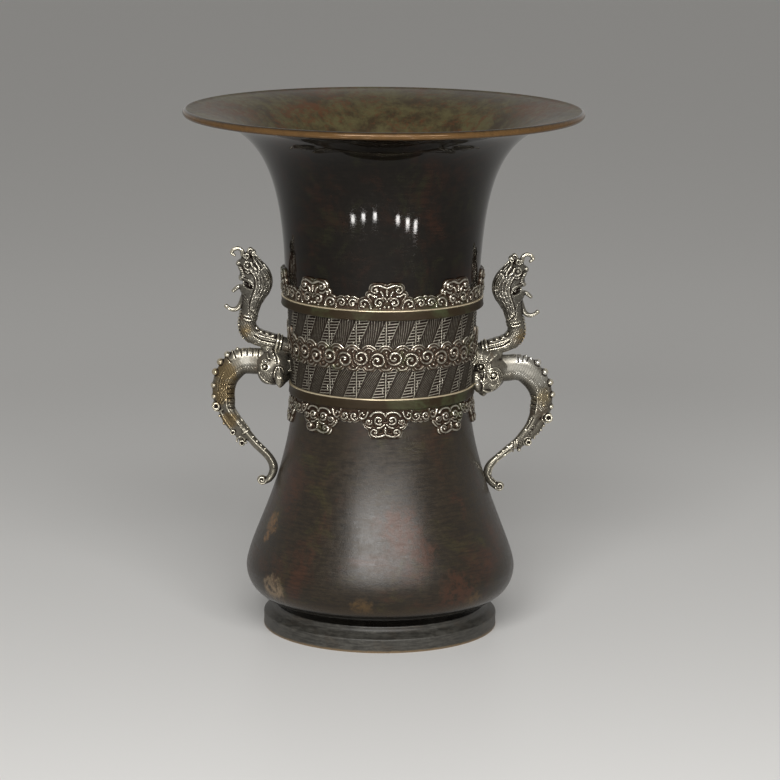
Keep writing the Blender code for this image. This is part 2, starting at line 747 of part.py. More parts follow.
# Holes through the collar for the tenons and the dragon necks
for side in (1, -1):
    far_x = HEAD_SEAT + TENON_WIDTH
    near_x = tenon_tip_x - TENON_WIDTH
    slot_low = (min(side * near_x, side * far_x), tenon_low[1] - FIT_GAP, tenon_low[2] - FIT_GAP)
    slot_high = (max(side * near_x, side * far_x), tenon_high[1] + FIT_GAP, tenon_high[2] + FIT_GAP)
    collar = joined(collar, block("slot_cutter", slot_low, slot_high, FRET_PATINA), "DIFFERENCE")
    bore_path = [
        (side * near_x, 0.0, NECK_ROOT_Z, PEG_RADIUS),
        (side * far_x, 0.0, NECK_ROOT_Z, PEG_RADIUS),
    ]
    collar = joined(collar, tube("bore_cutter", bore_path, FRET_PATINA, FIT_GAP, CUTTERS), "DIFFERENCE")

# The left handle is the same set of castings, turned half round
copied_across(beast_head, "left_beast_head")
copied_across(beast_body, "left_beast_body")
copied_across(dragon_neck, "left_dragon_neck")
copied_across(dragon_head, "left_dragon_head")
copied_across(tenon_pin, "left_tenon_pin")
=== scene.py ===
"""Looks of the bronze hu vase: turned walls, fret ground, cloud scrolls, beast handles and their patina.

Lengths are metres, except in the ornament, whose shapes are drawn in millimetres and scaled by MM.
"""

import math

import bpy
import numpy as np
from mathutils import Matrix, Vector


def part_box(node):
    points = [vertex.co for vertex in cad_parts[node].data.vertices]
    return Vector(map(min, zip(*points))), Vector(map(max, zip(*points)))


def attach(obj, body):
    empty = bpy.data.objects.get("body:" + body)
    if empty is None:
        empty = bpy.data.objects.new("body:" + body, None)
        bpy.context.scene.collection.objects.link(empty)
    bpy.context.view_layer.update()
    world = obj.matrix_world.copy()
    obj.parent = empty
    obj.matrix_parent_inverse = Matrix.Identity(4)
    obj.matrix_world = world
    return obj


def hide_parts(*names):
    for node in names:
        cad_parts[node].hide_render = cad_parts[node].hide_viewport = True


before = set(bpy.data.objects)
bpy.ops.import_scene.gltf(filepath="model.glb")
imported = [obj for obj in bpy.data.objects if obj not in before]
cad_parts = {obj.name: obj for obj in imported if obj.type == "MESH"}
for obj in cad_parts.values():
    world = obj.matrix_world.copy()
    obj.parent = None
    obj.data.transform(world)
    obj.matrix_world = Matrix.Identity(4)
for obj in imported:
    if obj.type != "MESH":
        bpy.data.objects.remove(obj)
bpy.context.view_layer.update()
MM = 0.001

# Places that the CAD solids give
FOOT_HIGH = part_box("foot_ring")[1]
LOWER_FILLET_LOW, LOWER_FILLET_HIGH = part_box("lower_fillet")
UPPER_FILLET_LOW, UPPER_FILLET_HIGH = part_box("upper_fillet")
BELLY_LOW, BELLY_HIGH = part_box("belly")
NECK_LOW, NECK_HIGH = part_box("trumpet_neck")
COLLAR_LOW, COLLAR_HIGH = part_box("waist_collar")
PLATE_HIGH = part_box("base_plate")[1]
GIRDLE_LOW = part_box("front_cloud_girdle")[0]

# Sizes of the walls
WALL = 0.0036
FIT_GAP = 0.0003
SPIGOT_WALL = 0.0030
LIP_RADIUS = 0.00255
COLLAR_BOTTOM_RADIUS = 0.0622
COLLAR_TOP_RADIUS = COLLAR_HIGH.x
NECK_ROOT_RADIUS = 0.0663
BELLY_TOP_RADIUS = 0.0602
FOOT_NECK_RADIUS = 0.0732
FOOT_SHOULDER_RADIUS = 0.0752
FOOT_BAND_HEIGHT = 0.0098
FOOT_BORE_RADIUS = 0.0690
FOOT_RIM_WIDTH = 0.0045
TURN_STEPS = 320


# Curves and meshes
def bezier(start, first_arm, second_arm, end, count):
    """Points along a cubic curve, both ends included."""
    t = np.linspace(0.0, 1.0, count)[:, None]
    corners = [np.array(corner, float) for corner in (start, first_arm, second_arm, end)]
    weights = ((1 - t) ** 3, 3 * t * (1 - t) ** 2, 3 * t ** 2 * (1 - t), t ** 3)
    return sum(weight * corner for weight, corner in zip(weights, corners))


def arc(centre, radius, start, end, count):
    """Points on part of a circle, with its angles in degrees."""
    angles = np.radians(np.linspace(start, end, count))
    return np.stack([centre[0] + radius * np.cos(angles), centre[1] + radius * np.sin(angles)], axis=1)


def offset(points, distance):
    """A line of points moved to the left of the way it runs."""
    steps = np.gradient(points, axis=0)
    steps /= np.linalg.norm(steps, axis=1)[:, None]
    return points + distance * np.stack([-steps[:, 1], steps[:, 0]], axis=1)


def through(points, samples=8):
    """An even curve through every point of a path, in as many columns as the path has."""
    path = np.array(points, float)
    ends = np.concatenate([path[:1], path, path[-1:]])
    t = np.linspace(0.0, 1.0, samples, endpoint=False)[:, None]
    pieces = []
    for a, b, c, d in zip(ends, ends[1:], ends[2:], ends[3:]):
        cubic = 3 * b - a - 3 * c + d
        pieces.append(0.5 * (2 * b + (c - a) * t + (2 * a - 5 * b + 4 * c - d) * t ** 2 + cubic * t ** 3))
    return np.concatenate(pieces + [path[-1:]])


def new_piece(name, points, faces, material, nodes, mapped=None):
    """A mesh piece that rides on the vase, takes a finish and stands for CAD nodes."""
    mesh = bpy.data.meshes.new(name)
    mesh.from_pydata(points.tolist(), [], faces)
    if mapped is not None:
        layer = mesh.uv_layers.new(name="OFBake")
        layer.data.foreach_set("uv", np.asarray(mapped, np.float32).ravel())
    mesh.shade_smooth()
    mesh.materials.append(material)
    piece = bpy.data.objects.new(name, mesh)
    bpy.context.scene.collection.objects.link(piece)
    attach(piece, "root")
    if nodes:
        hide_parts(*nodes)
    return piece


def wrapped_quads(rows, columns):
    """Corners of the quads of a grid that closes on itself both ways, and each quad's row and column."""
    row, column = np.meshgrid(np.arange(rows), np.arange(columns), indexing="ij")
    next_row = (row + 1) % rows
    next_column = (column + 1) % columns
    corners = (row * columns + column, row * columns + next_column,
               next_row * columns + next_column, next_row * columns + column)
    return np.stack(corners, axis=-1).reshape(-1, 4), row.ravel(), column.ravel()


def mark_points(piece, name, values):
    """Gives every point of a piece a value that its finish can read."""
    layer = piece.data.attributes.new(name, "FLOAT", "POINT")
    layer.data.foreach_set("value", np.asarray(values, np.float32))


def turned(name, profile, material, nodes, uneven=0.0, marks=None):
    """A closed profile of (radius, height) points, running down its outer side, turned about the Z axis.

    Marks are a name and one value for each point of the profile.
    """
    profile = np.asarray(profile, float)
    rows = len(profile)
    angles = np.linspace(0.0, 2 * math.pi, TURN_STEPS, endpoint=False)
    radius = profile[:, :1] + uneven * cast_waves(angles[None, :], profile[:, 1:])
    height = np.broadcast_to(profile[:, 1:], radius.shape)
    points = np.stack([radius * np.cos(angles), radius * np.sin(angles), height], axis=-1).reshape(-1, 3)
    faces, row, column = wrapped_quads(rows, TURN_STEPS)
    lengths = np.linalg.norm(np.diff(np.concatenate([profile, profile[:1]]), axis=0), axis=1)
    along = np.concatenate([[0.0], np.cumsum(lengths)]) / lengths.sum()
    u = np.stack([column, column + 1, column + 1, column], axis=1) / TURN_STEPS
    v = np.stack([along[row], along[row], along[row + 1], along[row + 1]], axis=1)
    mapped = np.stack([u, v], axis=-1)
    piece = new_piece(name, points, faces.tolist(), material, nodes, mapped)
    if marks:
        mark_points(piece, marks[0], np.repeat(marks[1], TURN_STEPS))
    return piece


# Waves of a cast wall: their share, their number round it, radians to the metre upward, and start
CAST_WAVES = ((1.0, 3, 31.0, 0.4), (1.0, 5, -67.0, 1.9), (0.7, 9, 103.0, 4.1), (0.5, 14, -151.0, 0.0))


def cast_waves(angle, height):
    """The slight unevenness of a cast and scraped wall, between -1 and 1."""
    total = 0.0
    for share, count, rise, start in CAST_WAVES:
        total = total + share * np.sin(count * angle + rise * height + start)
    return total / sum(wave[0] for wave in CAST_WAVES)


# Materials, with ragged spots: features of the edge to a radius, its raggedness and where a spot is full
SPOT_FEATURES = 2.2
SPOT_RAGGED = 0.8
SPOT_CORE = 0.45


class Finish:
    """A Principled material, built node by node."""

    def __init__(self, name):
        self.material = bpy.data.materials.new(name)
        self.material.use_nodes = True
        self.tree = self.material.node_tree
        self.shader = self.tree.nodes["Principled BSDF"]
        self.place = self.node("ShaderNodeTexCoord").outputs["Object"]

    def node(self, kind, inputs=None, **settings):
        made = self.tree.nodes.new(kind)
        for key, value in settings.items():
            setattr(made, key, value)
        for key, value in (inputs or {}).items():
            self.feed(made.inputs[key], value)
        return made

    def feed(self, socket, value):
        if isinstance(value, bpy.types.NodeSocket):
            self.tree.links.new(value, socket)
        else:
            socket.default_value = value

    def noise(self, scale, detail, rough, distortion=0.0, stretch=(1.0, 1.0, 1.0)):
        """Noise from 0 to 1 with that many features to the metre, and more along a stretched axis."""
        place = self.node("ShaderNodeVectorMath", {0: self.place, 1: stretch}, operation="MULTIPLY")
        settings = {"Vector": place.outputs["Vector"], "Scale": scale, "Detail": detail}
        settings.update({"Roughness": rough, "Distortion": distortion})
        return self.node("ShaderNodeTexNoise", settings).outputs["Fac"]

    def attribute(self, name):
        return self.node("ShaderNodeAttribute", attribute_name=name).outputs["Fac"]

    def span(self, value, low, high, to_low=0.0, to_high=1.0):
        """A value brought smoothly from one range to another and held at its ends."""
        settings = {"Value": value, "From Min": low, "From Max": high, "To Min": to_low, "To Max": to_high}
        return self.node("ShaderNodeMapRange", settings, interpolation_type="SMOOTHSTEP").outputs["Result"]

    def math(self, operation, first, second):
        """A sum, or a product held between 0 and 1."""
        held = operation == "MULTIPLY"
        node = self.node("ShaderNodeMath", {0: first, 1: second}, operation=operation, use_clamp=held)
        return node.outputs[0]

    def mean(self, first, second):
        return self.math("MULTIPLY", self.math("ADD", first, second), 0.5)

    def fray(self, value, noise, width):
        """A value with noise of that width added to it."""
        node = self.node("ShaderNodeMath", {0: noise, 1: width, 2: value}, operation="MULTIPLY_ADD")
        return node.outputs[0]

    def mix(self, share, first, second):
        """One colour laid over another by a share."""
        made = self.node("ShaderNodeMix", data_type="RGBA")
        for index, value in ((0, share), (6, first), (7, second)):
            self.feed(made.inputs[index], (*value, 1.0) if isinstance(value, tuple) else value)
        return made.outputs[2]

    def blend(self, share, first, second):
        """One value brought towards another by a share."""
        return self.node("ShaderNodeMix", {0: share, 2: first, 3: second}, data_type="FLOAT").outputs[0]

    def near(self, centre, radius):
        """How far inside a ragged spot a point is, from 0 at its edge to 1."""
        away = self.node("ShaderNodeVectorMath", {0: self.place, 1: centre}, operation="DISTANCE")
        noise = self.noise(SPOT_FEATURES / radius, 7.0, 0.72)
        frayed = self.fray(away.outputs["Value"], noise, 2.0 * SPOT_RAGGED * radius)
        return self.span(frayed, radius * (1.0 + SPOT_RAGGED), radius * (SPOT_CORE + SPOT_RAGGED))

    def radius(self):
        """Distance from the axis of the vase."""
        flat = self.node("ShaderNodeVectorMath", {0: self.place, 1: (1.0, 1.0, 0.0)}, operation="MULTIPLY")
        length = self.node("ShaderNodeVectorMath", {0: flat.outputs["Vector"]}, operation="LENGTH")
        return length.outputs["Value"]

    def height(self):
        return self.node("ShaderNodeSeparateXYZ", {0: self.place}).outputs["Z"]

    def finish(self, colour, roughness, metallic, specular, height=None, depth=0.0):
        sockets = self.shader.inputs
        self.feed(sockets["Base Color"], colour)
        self.feed(sockets["Roughness"], roughness)
        self.feed(sockets["Metallic"], metallic)
        self.feed(sockets["Specular IOR Level"], specular)
        if height is not None:
            bump = self.node("ShaderNodeBump", {"Height": height, "Distance": depth, "Strength": 1.0})
            self.feed(sockets["Normal"], bump.outputs["Normal"])
        return self.material


# Patina colours
DEEP = (0.0055, 0.0042, 0.003)
BROWN = (0.017, 0.011, 0.005)
SOOT = (0.0035, 0.0026, 0.0018)
DARK_OCHRE = (0.075, 0.043, 0.015)
LOW_OCHRE = (0.034, 0.021, 0.009)
RED = (0.046, 0.018, 0.008)
OLIVE = (0.037, 0.030, 0.009)
DEEP_RED = (0.021, 0.0085, 0.0045)
DEEP_OLIVE = (0.014, 0.0135, 0.0058)
MOSS = (0.050, 0.056, 0.026)
DISH_BROWN = (0.036, 0.025, 0.012)
DISH_OLIVE = (0.082, 0.070, 0.030)
DISH_RED = (0.080, 0.034, 0.014)
GOLD = (0.220, 0.150, 0.080)
OCHRE = (0.150, 0.078, 0.028)
TAN = (0.190, 0.135, 0.080)
STEEL = (0.052, 0.049, 0.042)
UMBER = (0.010, 0.0055, 0.0035)
EARTH = (0.072, 0.056, 0.040)
PALE_BRONZE = (0.560, 0.520, 0.420)
RUSSET = (0.020, 0.0095, 0.005)
CLOUD_BROWN = (0.052, 0.036, 0.024)
FILLET_BROWN = (0.028, 0.019, 0.010)
DARK_EARTH = (0.022, 0.017, 0.012)
WORN_FRET = (0.270, 0.250, 0.205)
# Painted highlight, laid on the upper parts of the handles' bodies
PAINTED_HIGHLIGHT_SILVER = (0.260, 0.248, 0.215)
DRAGON_GREY = (0.085, 0.080, 0.068)
BRIGHT_BRONZE = (0.660, 0.620, 0.520)
COPPER_BROWN = (0.090, 0.054, 0.030)
PALE_GOLD = (0.560, 0.470, 0.320)
LIP_GOLD = (0.118, 0.063, 0.022)
AMBER = (0.118, 0.080, 0.031)
STRAW = (0.175, 0.140, 0.080)
IRON_BRONZE = (0.112, 0.102, 0.082)

# Mottling of the patina, in features to the metre, and how much of it shows
BLUSH_SCALE = 24.0
MOSS_SCALE = 31.0
SPECKLE_SCALE = 95.0
STREAK_SCALE = 90.0
STREAK_STRETCH = (1.0, 1.0, 8.0)
FINE_SCALE = 240.0
GRAIN_SCALE = 1500.0
GROUND_LIGHTER = 1.6
SOOT_SHARE = 0.5
BAND_FRAY = 0.8
ROUGHNESS_RANGE = 0.10
INSIDE_ROUGHER = 0.3
STREAK_ROUGHER = 0.25
GRAIN_SHARE = 0.6
PATINA_METALLIC = 0.2


def patina(name, ground, blush, moss, gloss, specular, pitting, spots=(), wear_and_painted_light=()):
    """Waxed dark bronze, mottled in patches of a few centimetres, with streaks, pits, spots, worn edges and
    bands of painted shade.

    The side marked as inside takes the colours of the dish. Bands of wear and of painted shade are each a way
    to measure, where the band starts, where it is full, its colour and its roughness.
    """
    kit = Finish(name)
    broad = kit.noise(BLUSH_SCALE, 8.0, 0.66, 0.5)
    other = kit.noise(MOSS_SCALE, 8.0, 0.68, 0.7)
    fine = kit.noise(FINE_SCALE, 6.0, 0.7)
    grain = kit.noise(GRAIN_SCALE, 3.0, 0.6)
    streaks = kit.noise(STREAK_SCALE, 7.0, 0.75, 0.0, STREAK_STRETCH)
    speckle = kit.noise(SPECKLE_SCALE, 10.0, 0.78, 0.3)
    lighter = tuple(GROUND_LIGHTER * part for part in ground)
    colour = kit.mix(kit.span(fine, 0.3, 0.75), ground, lighter)
    colour = kit.mix(kit.span(broad, 0.49, 0.70), colour, blush)
    colour = kit.mix(kit.span(other, 0.51, 0.72), colour, moss)
    colour = kit.mix(kit.math("MULTIPLY", kit.span(streaks, 0.58, 0.40), SOOT_SHARE), colour, SOOT)
    dish = kit.mix(kit.span(kit.mean(other, speckle), 0.43, 0.60), DISH_BROWN, DISH_OLIVE)
    dish = kit.mix(kit.span(kit.mean(broad, fine), 0.49, 0.63), dish, DISH_RED)
    inside = kit.attribute("inside")
    colour = kit.mix(inside, colour, dish)
    broken = kit.span(fine, 0.34, 0.58)
    for centre, radius, tone in spots:
        colour = kit.mix(kit.math("MULTIPLY", kit.near(centre, radius), broken), colour, tone)
    roughness = kit.span(fine, 0.25, 0.8, gloss, gloss + ROUGHNESS_RANGE)
    roughness = kit.math("ADD", roughness, kit.math("MULTIPLY", inside, INSIDE_ROUGHER))
    streaked = kit.math("MULTIPLY", kit.span(streaks, 0.4, 0.7), STREAK_ROUGHER * gloss)
    roughness = kit.math("ADD", roughness, streaked)
    # Bands of wear, and bands of painted shade, laid over the colour and roughness
    for measure, first, full, tone, sheen in wear_and_painted_light:
        frayed = kit.fray(getattr(kit, measure)(), fine, BAND_FRAY * (first - full))
        share = kit.span(frayed, first, full)
        colour = kit.mix(share, colour, tone)
        roughness = kit.blend(share, roughness, sheen)
    height = kit.math("ADD", fine, kit.math("MULTIPLY", grain, GRAIN_SHARE))
    return kit.finish(colour, roughness, PATINA_METALLIC, specular, height, pitting)


# Relief: patches and grain in features to the metre, and what wear does to its crests and hollows
PATCH_SCALE = 38.0
PATCH_RANGE = 0.18
CAST_GRAIN_SCALE = 420.0
CREST_FRAY = 0.24
SPOT_SHARE = 0.75
SPOT_CREST_LIGHTER = 2.8
SPOT_CREST_MOST = 0.6
HOLLOW_ROUGHER = 0.22
CREST_SMOOTHER = 0.04
HOLLOW_METALLIC = 0.3
RELIEF_SPECULAR = 0.12
RELIEF_PITTING = 0.00006


def relief_bronze(name, hollow, ground, wear_and_painted_light, blush, roughness, metallic, blush_from=0.5, spots=()):
    """Cast relief: dark in its hollows, bright on its crests, with a second tone in patches and spots; on the
    handles the silver spots are painted highlights that also lighten the crests under them.
    """
    kit = Finish(name)
    patch = kit.noise(PATCH_SCALE, 5.0, 0.6, 0.5)
    fine = kit.noise(CAST_GRAIN_SCALE, 5.0, 0.65)
    frayed = kit.math("ADD", kit.attribute("crest"), kit.math("MULTIPLY", fine, CREST_FRAY))
    body = kit.mix(kit.span(patch, blush_from, blush_from + PATCH_RANGE), ground, blush)
    for centre, radius, tone in spots:
        share = kit.math("MULTIPLY", kit.near(centre, radius), SPOT_SHARE)
        bright = tuple(min(SPOT_CREST_LIGHTER * part, SPOT_CREST_MOST) for part in tone)
        body = kit.mix(share, body, tone)
        wear_and_painted_light = kit.mix(share, wear_and_painted_light, bright)
    body = kit.mix(kit.span(frayed, 0.38, 0.62), hollow, body)
    colour = kit.mix(kit.span(frayed, 0.68, 1.02), body, wear_and_painted_light)
    rough = kit.span(frayed, 0.3, 1.0, roughness + HOLLOW_ROUGHER, roughness - CREST_SMOOTHER)
    shine = kit.span(frayed, 0.4, 0.9, metallic * HOLLOW_METALLIC, metallic)
    return kit.finish(colour, rough, shine, RELIEF_SPECULAR, fine, RELIEF_PITTING)


# Spots: centre, radius and colour. On the belly they are stains and patches of the patina; on the handles the
# silver ones are painted highlights and the rest are tones of the patina.
BELLY_SPOTS = (
    ((0.012, -0.083, 0.088), 0.022, RED),
    ((0.026, -0.080, 0.070), 0.012, RED),
    ((0.048, -0.076, 0.040), 0.020, RED),
    ((-0.078, -0.032, 0.080), 0.010, OCHRE),
    ((-0.080, -0.030, 0.069), 0.005, OCHRE),
    ((-0.075, -0.053, 0.036), 0.014, TAN),
    ((-0.016, -0.089, 0.033), 0.010, DARK_OCHRE),
    ((0.060, -0.067, 0.032), 0.010, DARK_OCHRE),
)
# The silver spots paint the lamps' highlight on the tops of the beasts' bodies
HANDLE_SPOTS_AND_HIGHLIGHTS = (
    ((0.0980, -0.002, 0.1830), 0.0150, PAINTED_HIGHLIGHT_SILVER), ((0.1080, -0.002, 0.1740), 0.0085, PAINTED_HIGHLIGHT_SILVER),
    ((-0.0930, -0.002, 0.1870), 0.0070, PAINTED_HIGHLIGHT_SILVER), ((0.0890, 0.0, 0.2370), 0.0300, DRAGON_GREY),
    ((-0.0890, 0.0, 0.2410), 0.0300, DRAGON_GREY),
    ((-0.1075, -0.002, 0.1780), 0.0120, AMBER), ((-0.1085, -0.002, 0.1640), 0.0110, AMBER),
    ((-0.1050, -0.002, 0.1450), 0.0080, AMBER), ((0.1110, -0.002, 0.1610), 0.0080, STRAW),
    ((-0.0930, -0.002, 0.2080), 0.0065, AMBER), ((0.0950, -0.002, 0.2040), 0.0060, AMBER),
)
# Wear and painted shade: way to measure, where it starts, where it is full, colour and roughness
NECK_WEAR = (("radius", 0.1334, 0.1358, LIP_GOLD, 0.1),)
# On the belly the ochre band is patina, and the near-black band below it is painted shade where the belly
# turns in above the foot
BELLY_WEAR_AND_SHADE = (("height", 0.040, 0.031, LOW_OCHRE, 0.25), ("height", 0.0305, 0.0275, DEEP, 0.08))
# On the foot the gold band is wear on the rim it stands on, and the dark band over its top is painted shade
# under the belly
FOOT_WEAR_AND_SHADE = (("height", 0.0030, 0.0010, GOLD, 0.4), ("height", 0.0148, 0.0165, DEEP, 0.15))
NECK_PATINA = patina("neck_patina", DEEP, DEEP_RED, DEEP_OLIVE, 0.02, 0.2, 0.000006, (), NECK_WEAR)
BELLY_PATINA = patina("belly_patina", BROWN, RED, OLIVE, 0.28, 0.5, 0.00009, BELLY_SPOTS, BELLY_WEAR_AND_SHADE)
FOOT_PATINA = patina("foot_patina", STEEL, STEEL, EARTH, 0.40, 0.4, 0.00012, (), FOOT_WEAR_AND_SHADE)
FRET_BRONZE = relief_bronze("fret_bronze", UMBER, DARK_EARTH, WORN_FRET, BROWN, 0.34, 0.6)
CLOUD_BRONZE = relief_bronze("cloud_bronze", RUSSET, CLOUD_BROWN, BRIGHT_BRONZE, MOSS, 0.15, 0.9)
FILLET_BRONZE = relief_bronze("fillet_bronze", BROWN, FILLET_BROWN, PALE_GOLD, MOSS, 0.28, 0.6)
HANDLE_BRONZE = relief_bronze(
    "handle_bronze", UMBER, IRON_BRONZE, PALE_BRONZE, COPPER_BROWN, 0.20, 0.9, 0.56, HANDLE_SPOTS_AND_HIGHLIGHTS
)
INSIDE_PATINA = patina("inside_patina", BROWN, EARTH, OLIVE, 0.45, 0.3, 0.00010)
PIN_BRONZE = patina("pin_patina", EARTH, OCHRE, STEEL, 0.40, 0.4, 0.00008)


def dress_nodes():
    """Gives a finish to the CAD nodes that stay as they are: they show inside the vase and under its foot."""
    finishes = (
        (INSIDE_PATINA, ("waist_collar", "base_plate")),
        (PIN_BRONZE, ("right_tenon_pin", "left_tenon_pin")),
    )
    for material, nodes in finishes:
        for node in nodes:
            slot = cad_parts[node].material_slots[0]
            slot.link = "OBJECT"
            slot.material = material


# Turned walls: arms of their curves, as (out, up), and smaller sizes
NECK_ROOT_ARM = (0.0020, 0.072)
NECK_FLARE_ARM = (-0.056, -0.0045)
BELLY_TOP_ARM = (0.0048, -0.063)
BELLY_UPPER_ARM = (-0.0015, 0.019)
BELLY_LOWER_ARM = (0.0, -0.012)
BELLY_FOOT_ARM = (0.0128, 0.002)
BELLY_WIDEST_RISE = 0.0265
BELLY_FOOT_RISE = 0.004
BELLY_SEAT_STEP = 0.001
NECK_ROWS = 90
NECK_INNER_START = 9
BELLY_ROWS = 100
LIP_ROWS = 22
LIP_INSIDE_ROWS = 4
LIP_TURN = 125.0
FOOT_NECK_DROP = 0.0012
FOOT_COVE = (0.002, -0.001)
FOOT_COVE_RADIUS = 0.004
FOOT_TOP_EDGE = 0.0012
FOOT_LOW_EDGE = 0.0006
FOOT_BOW = 0.0002
FOOT_RIM_DEPTH = 0.0068
FOOT_BORE_BOTTOM = 0.009
FILLET_EDGE = 0.0009
FILLET_BOW = 0.0004
# Crest values down a fillet's profile: the upper edge is worn and carries a painted highlight, and the
# underside carries painted shade
FILLET_WEAR_AND_LIGHT = (0.4, 0.9, 1.0, 1.0, 1.0, 0.9, 0.6, 0.42, 0.44, 0.5, 0.5, 0.4, 0.3, 0.15, 0.05)
NECK_UNEVEN = 0.00010
BELLY_UNEVEN = 0.00022
FOOT_UNEVEN = 0.00006
FILLET_UNEVEN = 0.00005


def moved(point, arm):
    return point[0] + arm[0], point[1] + arm[1]


def neck_outer(count):
    """The outer line of the neck, from its root to its lip."""
    reach = LIP_RADIUS / math.sqrt(2.0)
    end = (NECK_HIGH.x - LIP_RADIUS - reach, NECK_HIGH.z - LIP_RADIUS - reach)
    root = (NECK_ROOT_RADIUS, UPPER_FILLET_HIGH.z)
    return bezier(root, moved(root, NECK_ROOT_ARM), moved(end, NECK_FLARE_ARM), end, count)


def belly_outer(count):
    """The outer line of the belly, from its shoulder to its foot."""
    top = (BELLY_TOP_RADIUS, LOWER_FILLET_LOW.z)
    widest = (BELLY_HIGH.x, FOOT_HIGH.z + BELLY_WIDEST_RISE)
    foot = (FOOT_NECK_RADIUS, FOOT_HIGH.z + BELLY_FOOT_RISE)
    upper = bezier(top, moved(top, BELLY_TOP_ARM), moved(widest, BELLY_UPPER_ARM), widest, count)
    lower = bezier(widest, moved(widest, BELLY_LOWER_ARM), moved(foot, BELLY_FOOT_ARM), foot, count // 2)
    return np.concatenate([upper, lower[1:]])


def make_neck():
    """The trumpet neck, with its rolled lip and the spigot that seats in the collar."""
    outer = neck_outer(NECK_ROWS)
    inner = offset(outer, WALL)[NECK_INNER_START:-1]
    lip_centre = (NECK_HIGH.x - LIP_RADIUS, NECK_HIGH.z - LIP_RADIUS)
    lip = arc(lip_centre, LIP_RADIUS, LIP_TURN, -LIP_TURN, LIP_ROWS)
    spigot = COLLAR_TOP_RADIUS - WALL - FIT_GAP
    bore = spigot - SPIGOT_WALL
    shoulder = UPPER_FILLET_HIGH.z
    under = [(spigot, shoulder), (spigot, NECK_LOW.z), (bore, NECK_LOW.z), (bore, shoulder)]
    profile = np.concatenate([lip, outer[::-1], under, inner])
    inside = np.concatenate([np.zeros(len(lip) + len(outer) + 2), np.ones(2 + len(inner))])
    inside[:LIP_INSIDE_ROWS] = 1.0
    marks = ("inside", inside)
    turned("bronze_neck", profile, NECK_PATINA, ["trumpet_neck"], NECK_UNEVEN, marks)


def make_belly():
    """The belly, with a spigot at each end and a ledge for the base plate."""
    outer = belly_outer(BELLY_ROWS)
    inner = offset(outer, -WALL)[1:-1:2]
    spigot = COLLAR_BOTTOM_RADIUS - WALL - FIT_GAP
    bore = spigot - SPIGOT_WALL
    shoulder = LOWER_FILLET_LOW.z
    foot_spigot = FOOT_BORE_RADIUS - FIT_GAP
    ledge = PLATE_HIGH.x + FIT_GAP
    profile = np.concatenate([
        [(spigot, BELLY_HIGH.z), (spigot, shoulder), (BELLY_TOP_RADIUS, shoulder + BELLY_SEAT_STEP)],
        outer,
        [(FOOT_NECK_RADIUS, FOOT_HIGH.z), (foot_spigot, FOOT_HIGH.z), (foot_spigot, BELLY_LOW.z)],
        [(ledge, BELLY_LOW.z), (ledge, PLATE_HIGH.z + FIT_GAP)],
        inner[::-1],
        [(bore, shoulder), (bore, BELLY_HIGH.z)],
    ])
    turned("bronze_belly", profile, BELLY_PATINA, ["belly"], BELLY_UNEVEN)


def make_foot():
    """The foot ring: a neck under the belly, a cove, a band and a standing rim."""
    out, top = FOOT_HIGH.x, FOOT_HIGH.z
    cove = (FOOT_SHOULDER_RADIUS + FOOT_COVE[0], top + FOOT_COVE[1])
    rim = out - FOOT_RIM_WIDTH
    profile = np.concatenate([
        [(FOOT_NECK_RADIUS, top), (FOOT_NECK_RADIUS, top - FOOT_NECK_DROP)],
        arc(cove, FOOT_COVE_RADIUS, 190.0, 250.0, 8),
        arc((out - FOOT_TOP_EDGE, FOOT_BAND_HEIGHT - FOOT_TOP_EDGE), FOOT_TOP_EDGE, 80.0, 0.0, 6),
        [(out - FOOT_BOW, FOOT_BAND_HEIGHT / 2)],
        arc((out - FOOT_LOW_EDGE, FOOT_LOW_EDGE), FOOT_LOW_EDGE, 0.0, -90.0, 5),
        [(rim, 0.0), (rim, FOOT_RIM_DEPTH)],
        [(FOOT_BORE_RADIUS, FOOT_BORE_BOTTOM), (FOOT_BORE_RADIUS, top)],
    ])
    turned("foot", profile, FOOT_PATINA, ["foot_ring"], FOOT_UNEVEN)


def make_fillet(name, low, high):
    """A ring over a joint, bright on its upper edge from wear and a painted highlight, with painted shade on
    its underside.
    """
    back = BELLY_TOP_RADIUS - FILLET_BOW
    profile = np.concatenate([
        [(back, high.z)],
        arc((high.x - FILLET_EDGE, high.z - FILLET_EDGE), FILLET_EDGE, 90.0, 0.0, 6),
        [(high.x - FILLET_BOW, (low.z + high.z) / 2)],
        arc((high.x - FILLET_EDGE, low.z + FILLET_EDGE), FILLET_EDGE, 0.0, -90.0, 6),
        [(back, low.z)],
    ])
    nodes = [f"{name}_fillet"]
    marks = ("crest", FILLET_WEAR_AND_LIGHT)
    turned(f"{name}_band", profile, FILLET_BRONZE, nodes, FILLET_UNEVEN, marks)


dress_nodes()
make_neck()
make_belly()
make_foot()
make_fillet("upper", UPPER_FILLET_LOW, UPPER_FILLET_HIGH)
make_fillet("lower", LOWER_FILLET_LOW, LOWER_FILLET_HIGH)

# Raised ornament, drawn in millimetres: u runs round the wall and v away from the edge that carries the band
GRID_MM = 0.30
PLATE_MM = 1.7
PLATE_MARGIN_MM = 0.9
BURIED_MM = -0.6
BACK_MM = -0.9
STROKE_MM = 1.05
CREST_MM = 3.1
DOT_RUN_MM = 0.01
KEPT_MM = 0.05
TUBE_ROUND = 1.5
TUBE_FALL = 5.0
PLATE_FALL = 3.0
VOLUTE_POINTS = 30
VOLUTE_THINNING = 0.15
VOLUTE_RISE_MM = 0.5
CREST_ROUNDS = 14
RELIEF_SHARPNESS = 1.1
MAP_HEIGHT = 0.48
MAP_BACK = 0.51
TINY = 1e-9
HALVES = (("front", -math.pi), ("rear", 0.0))


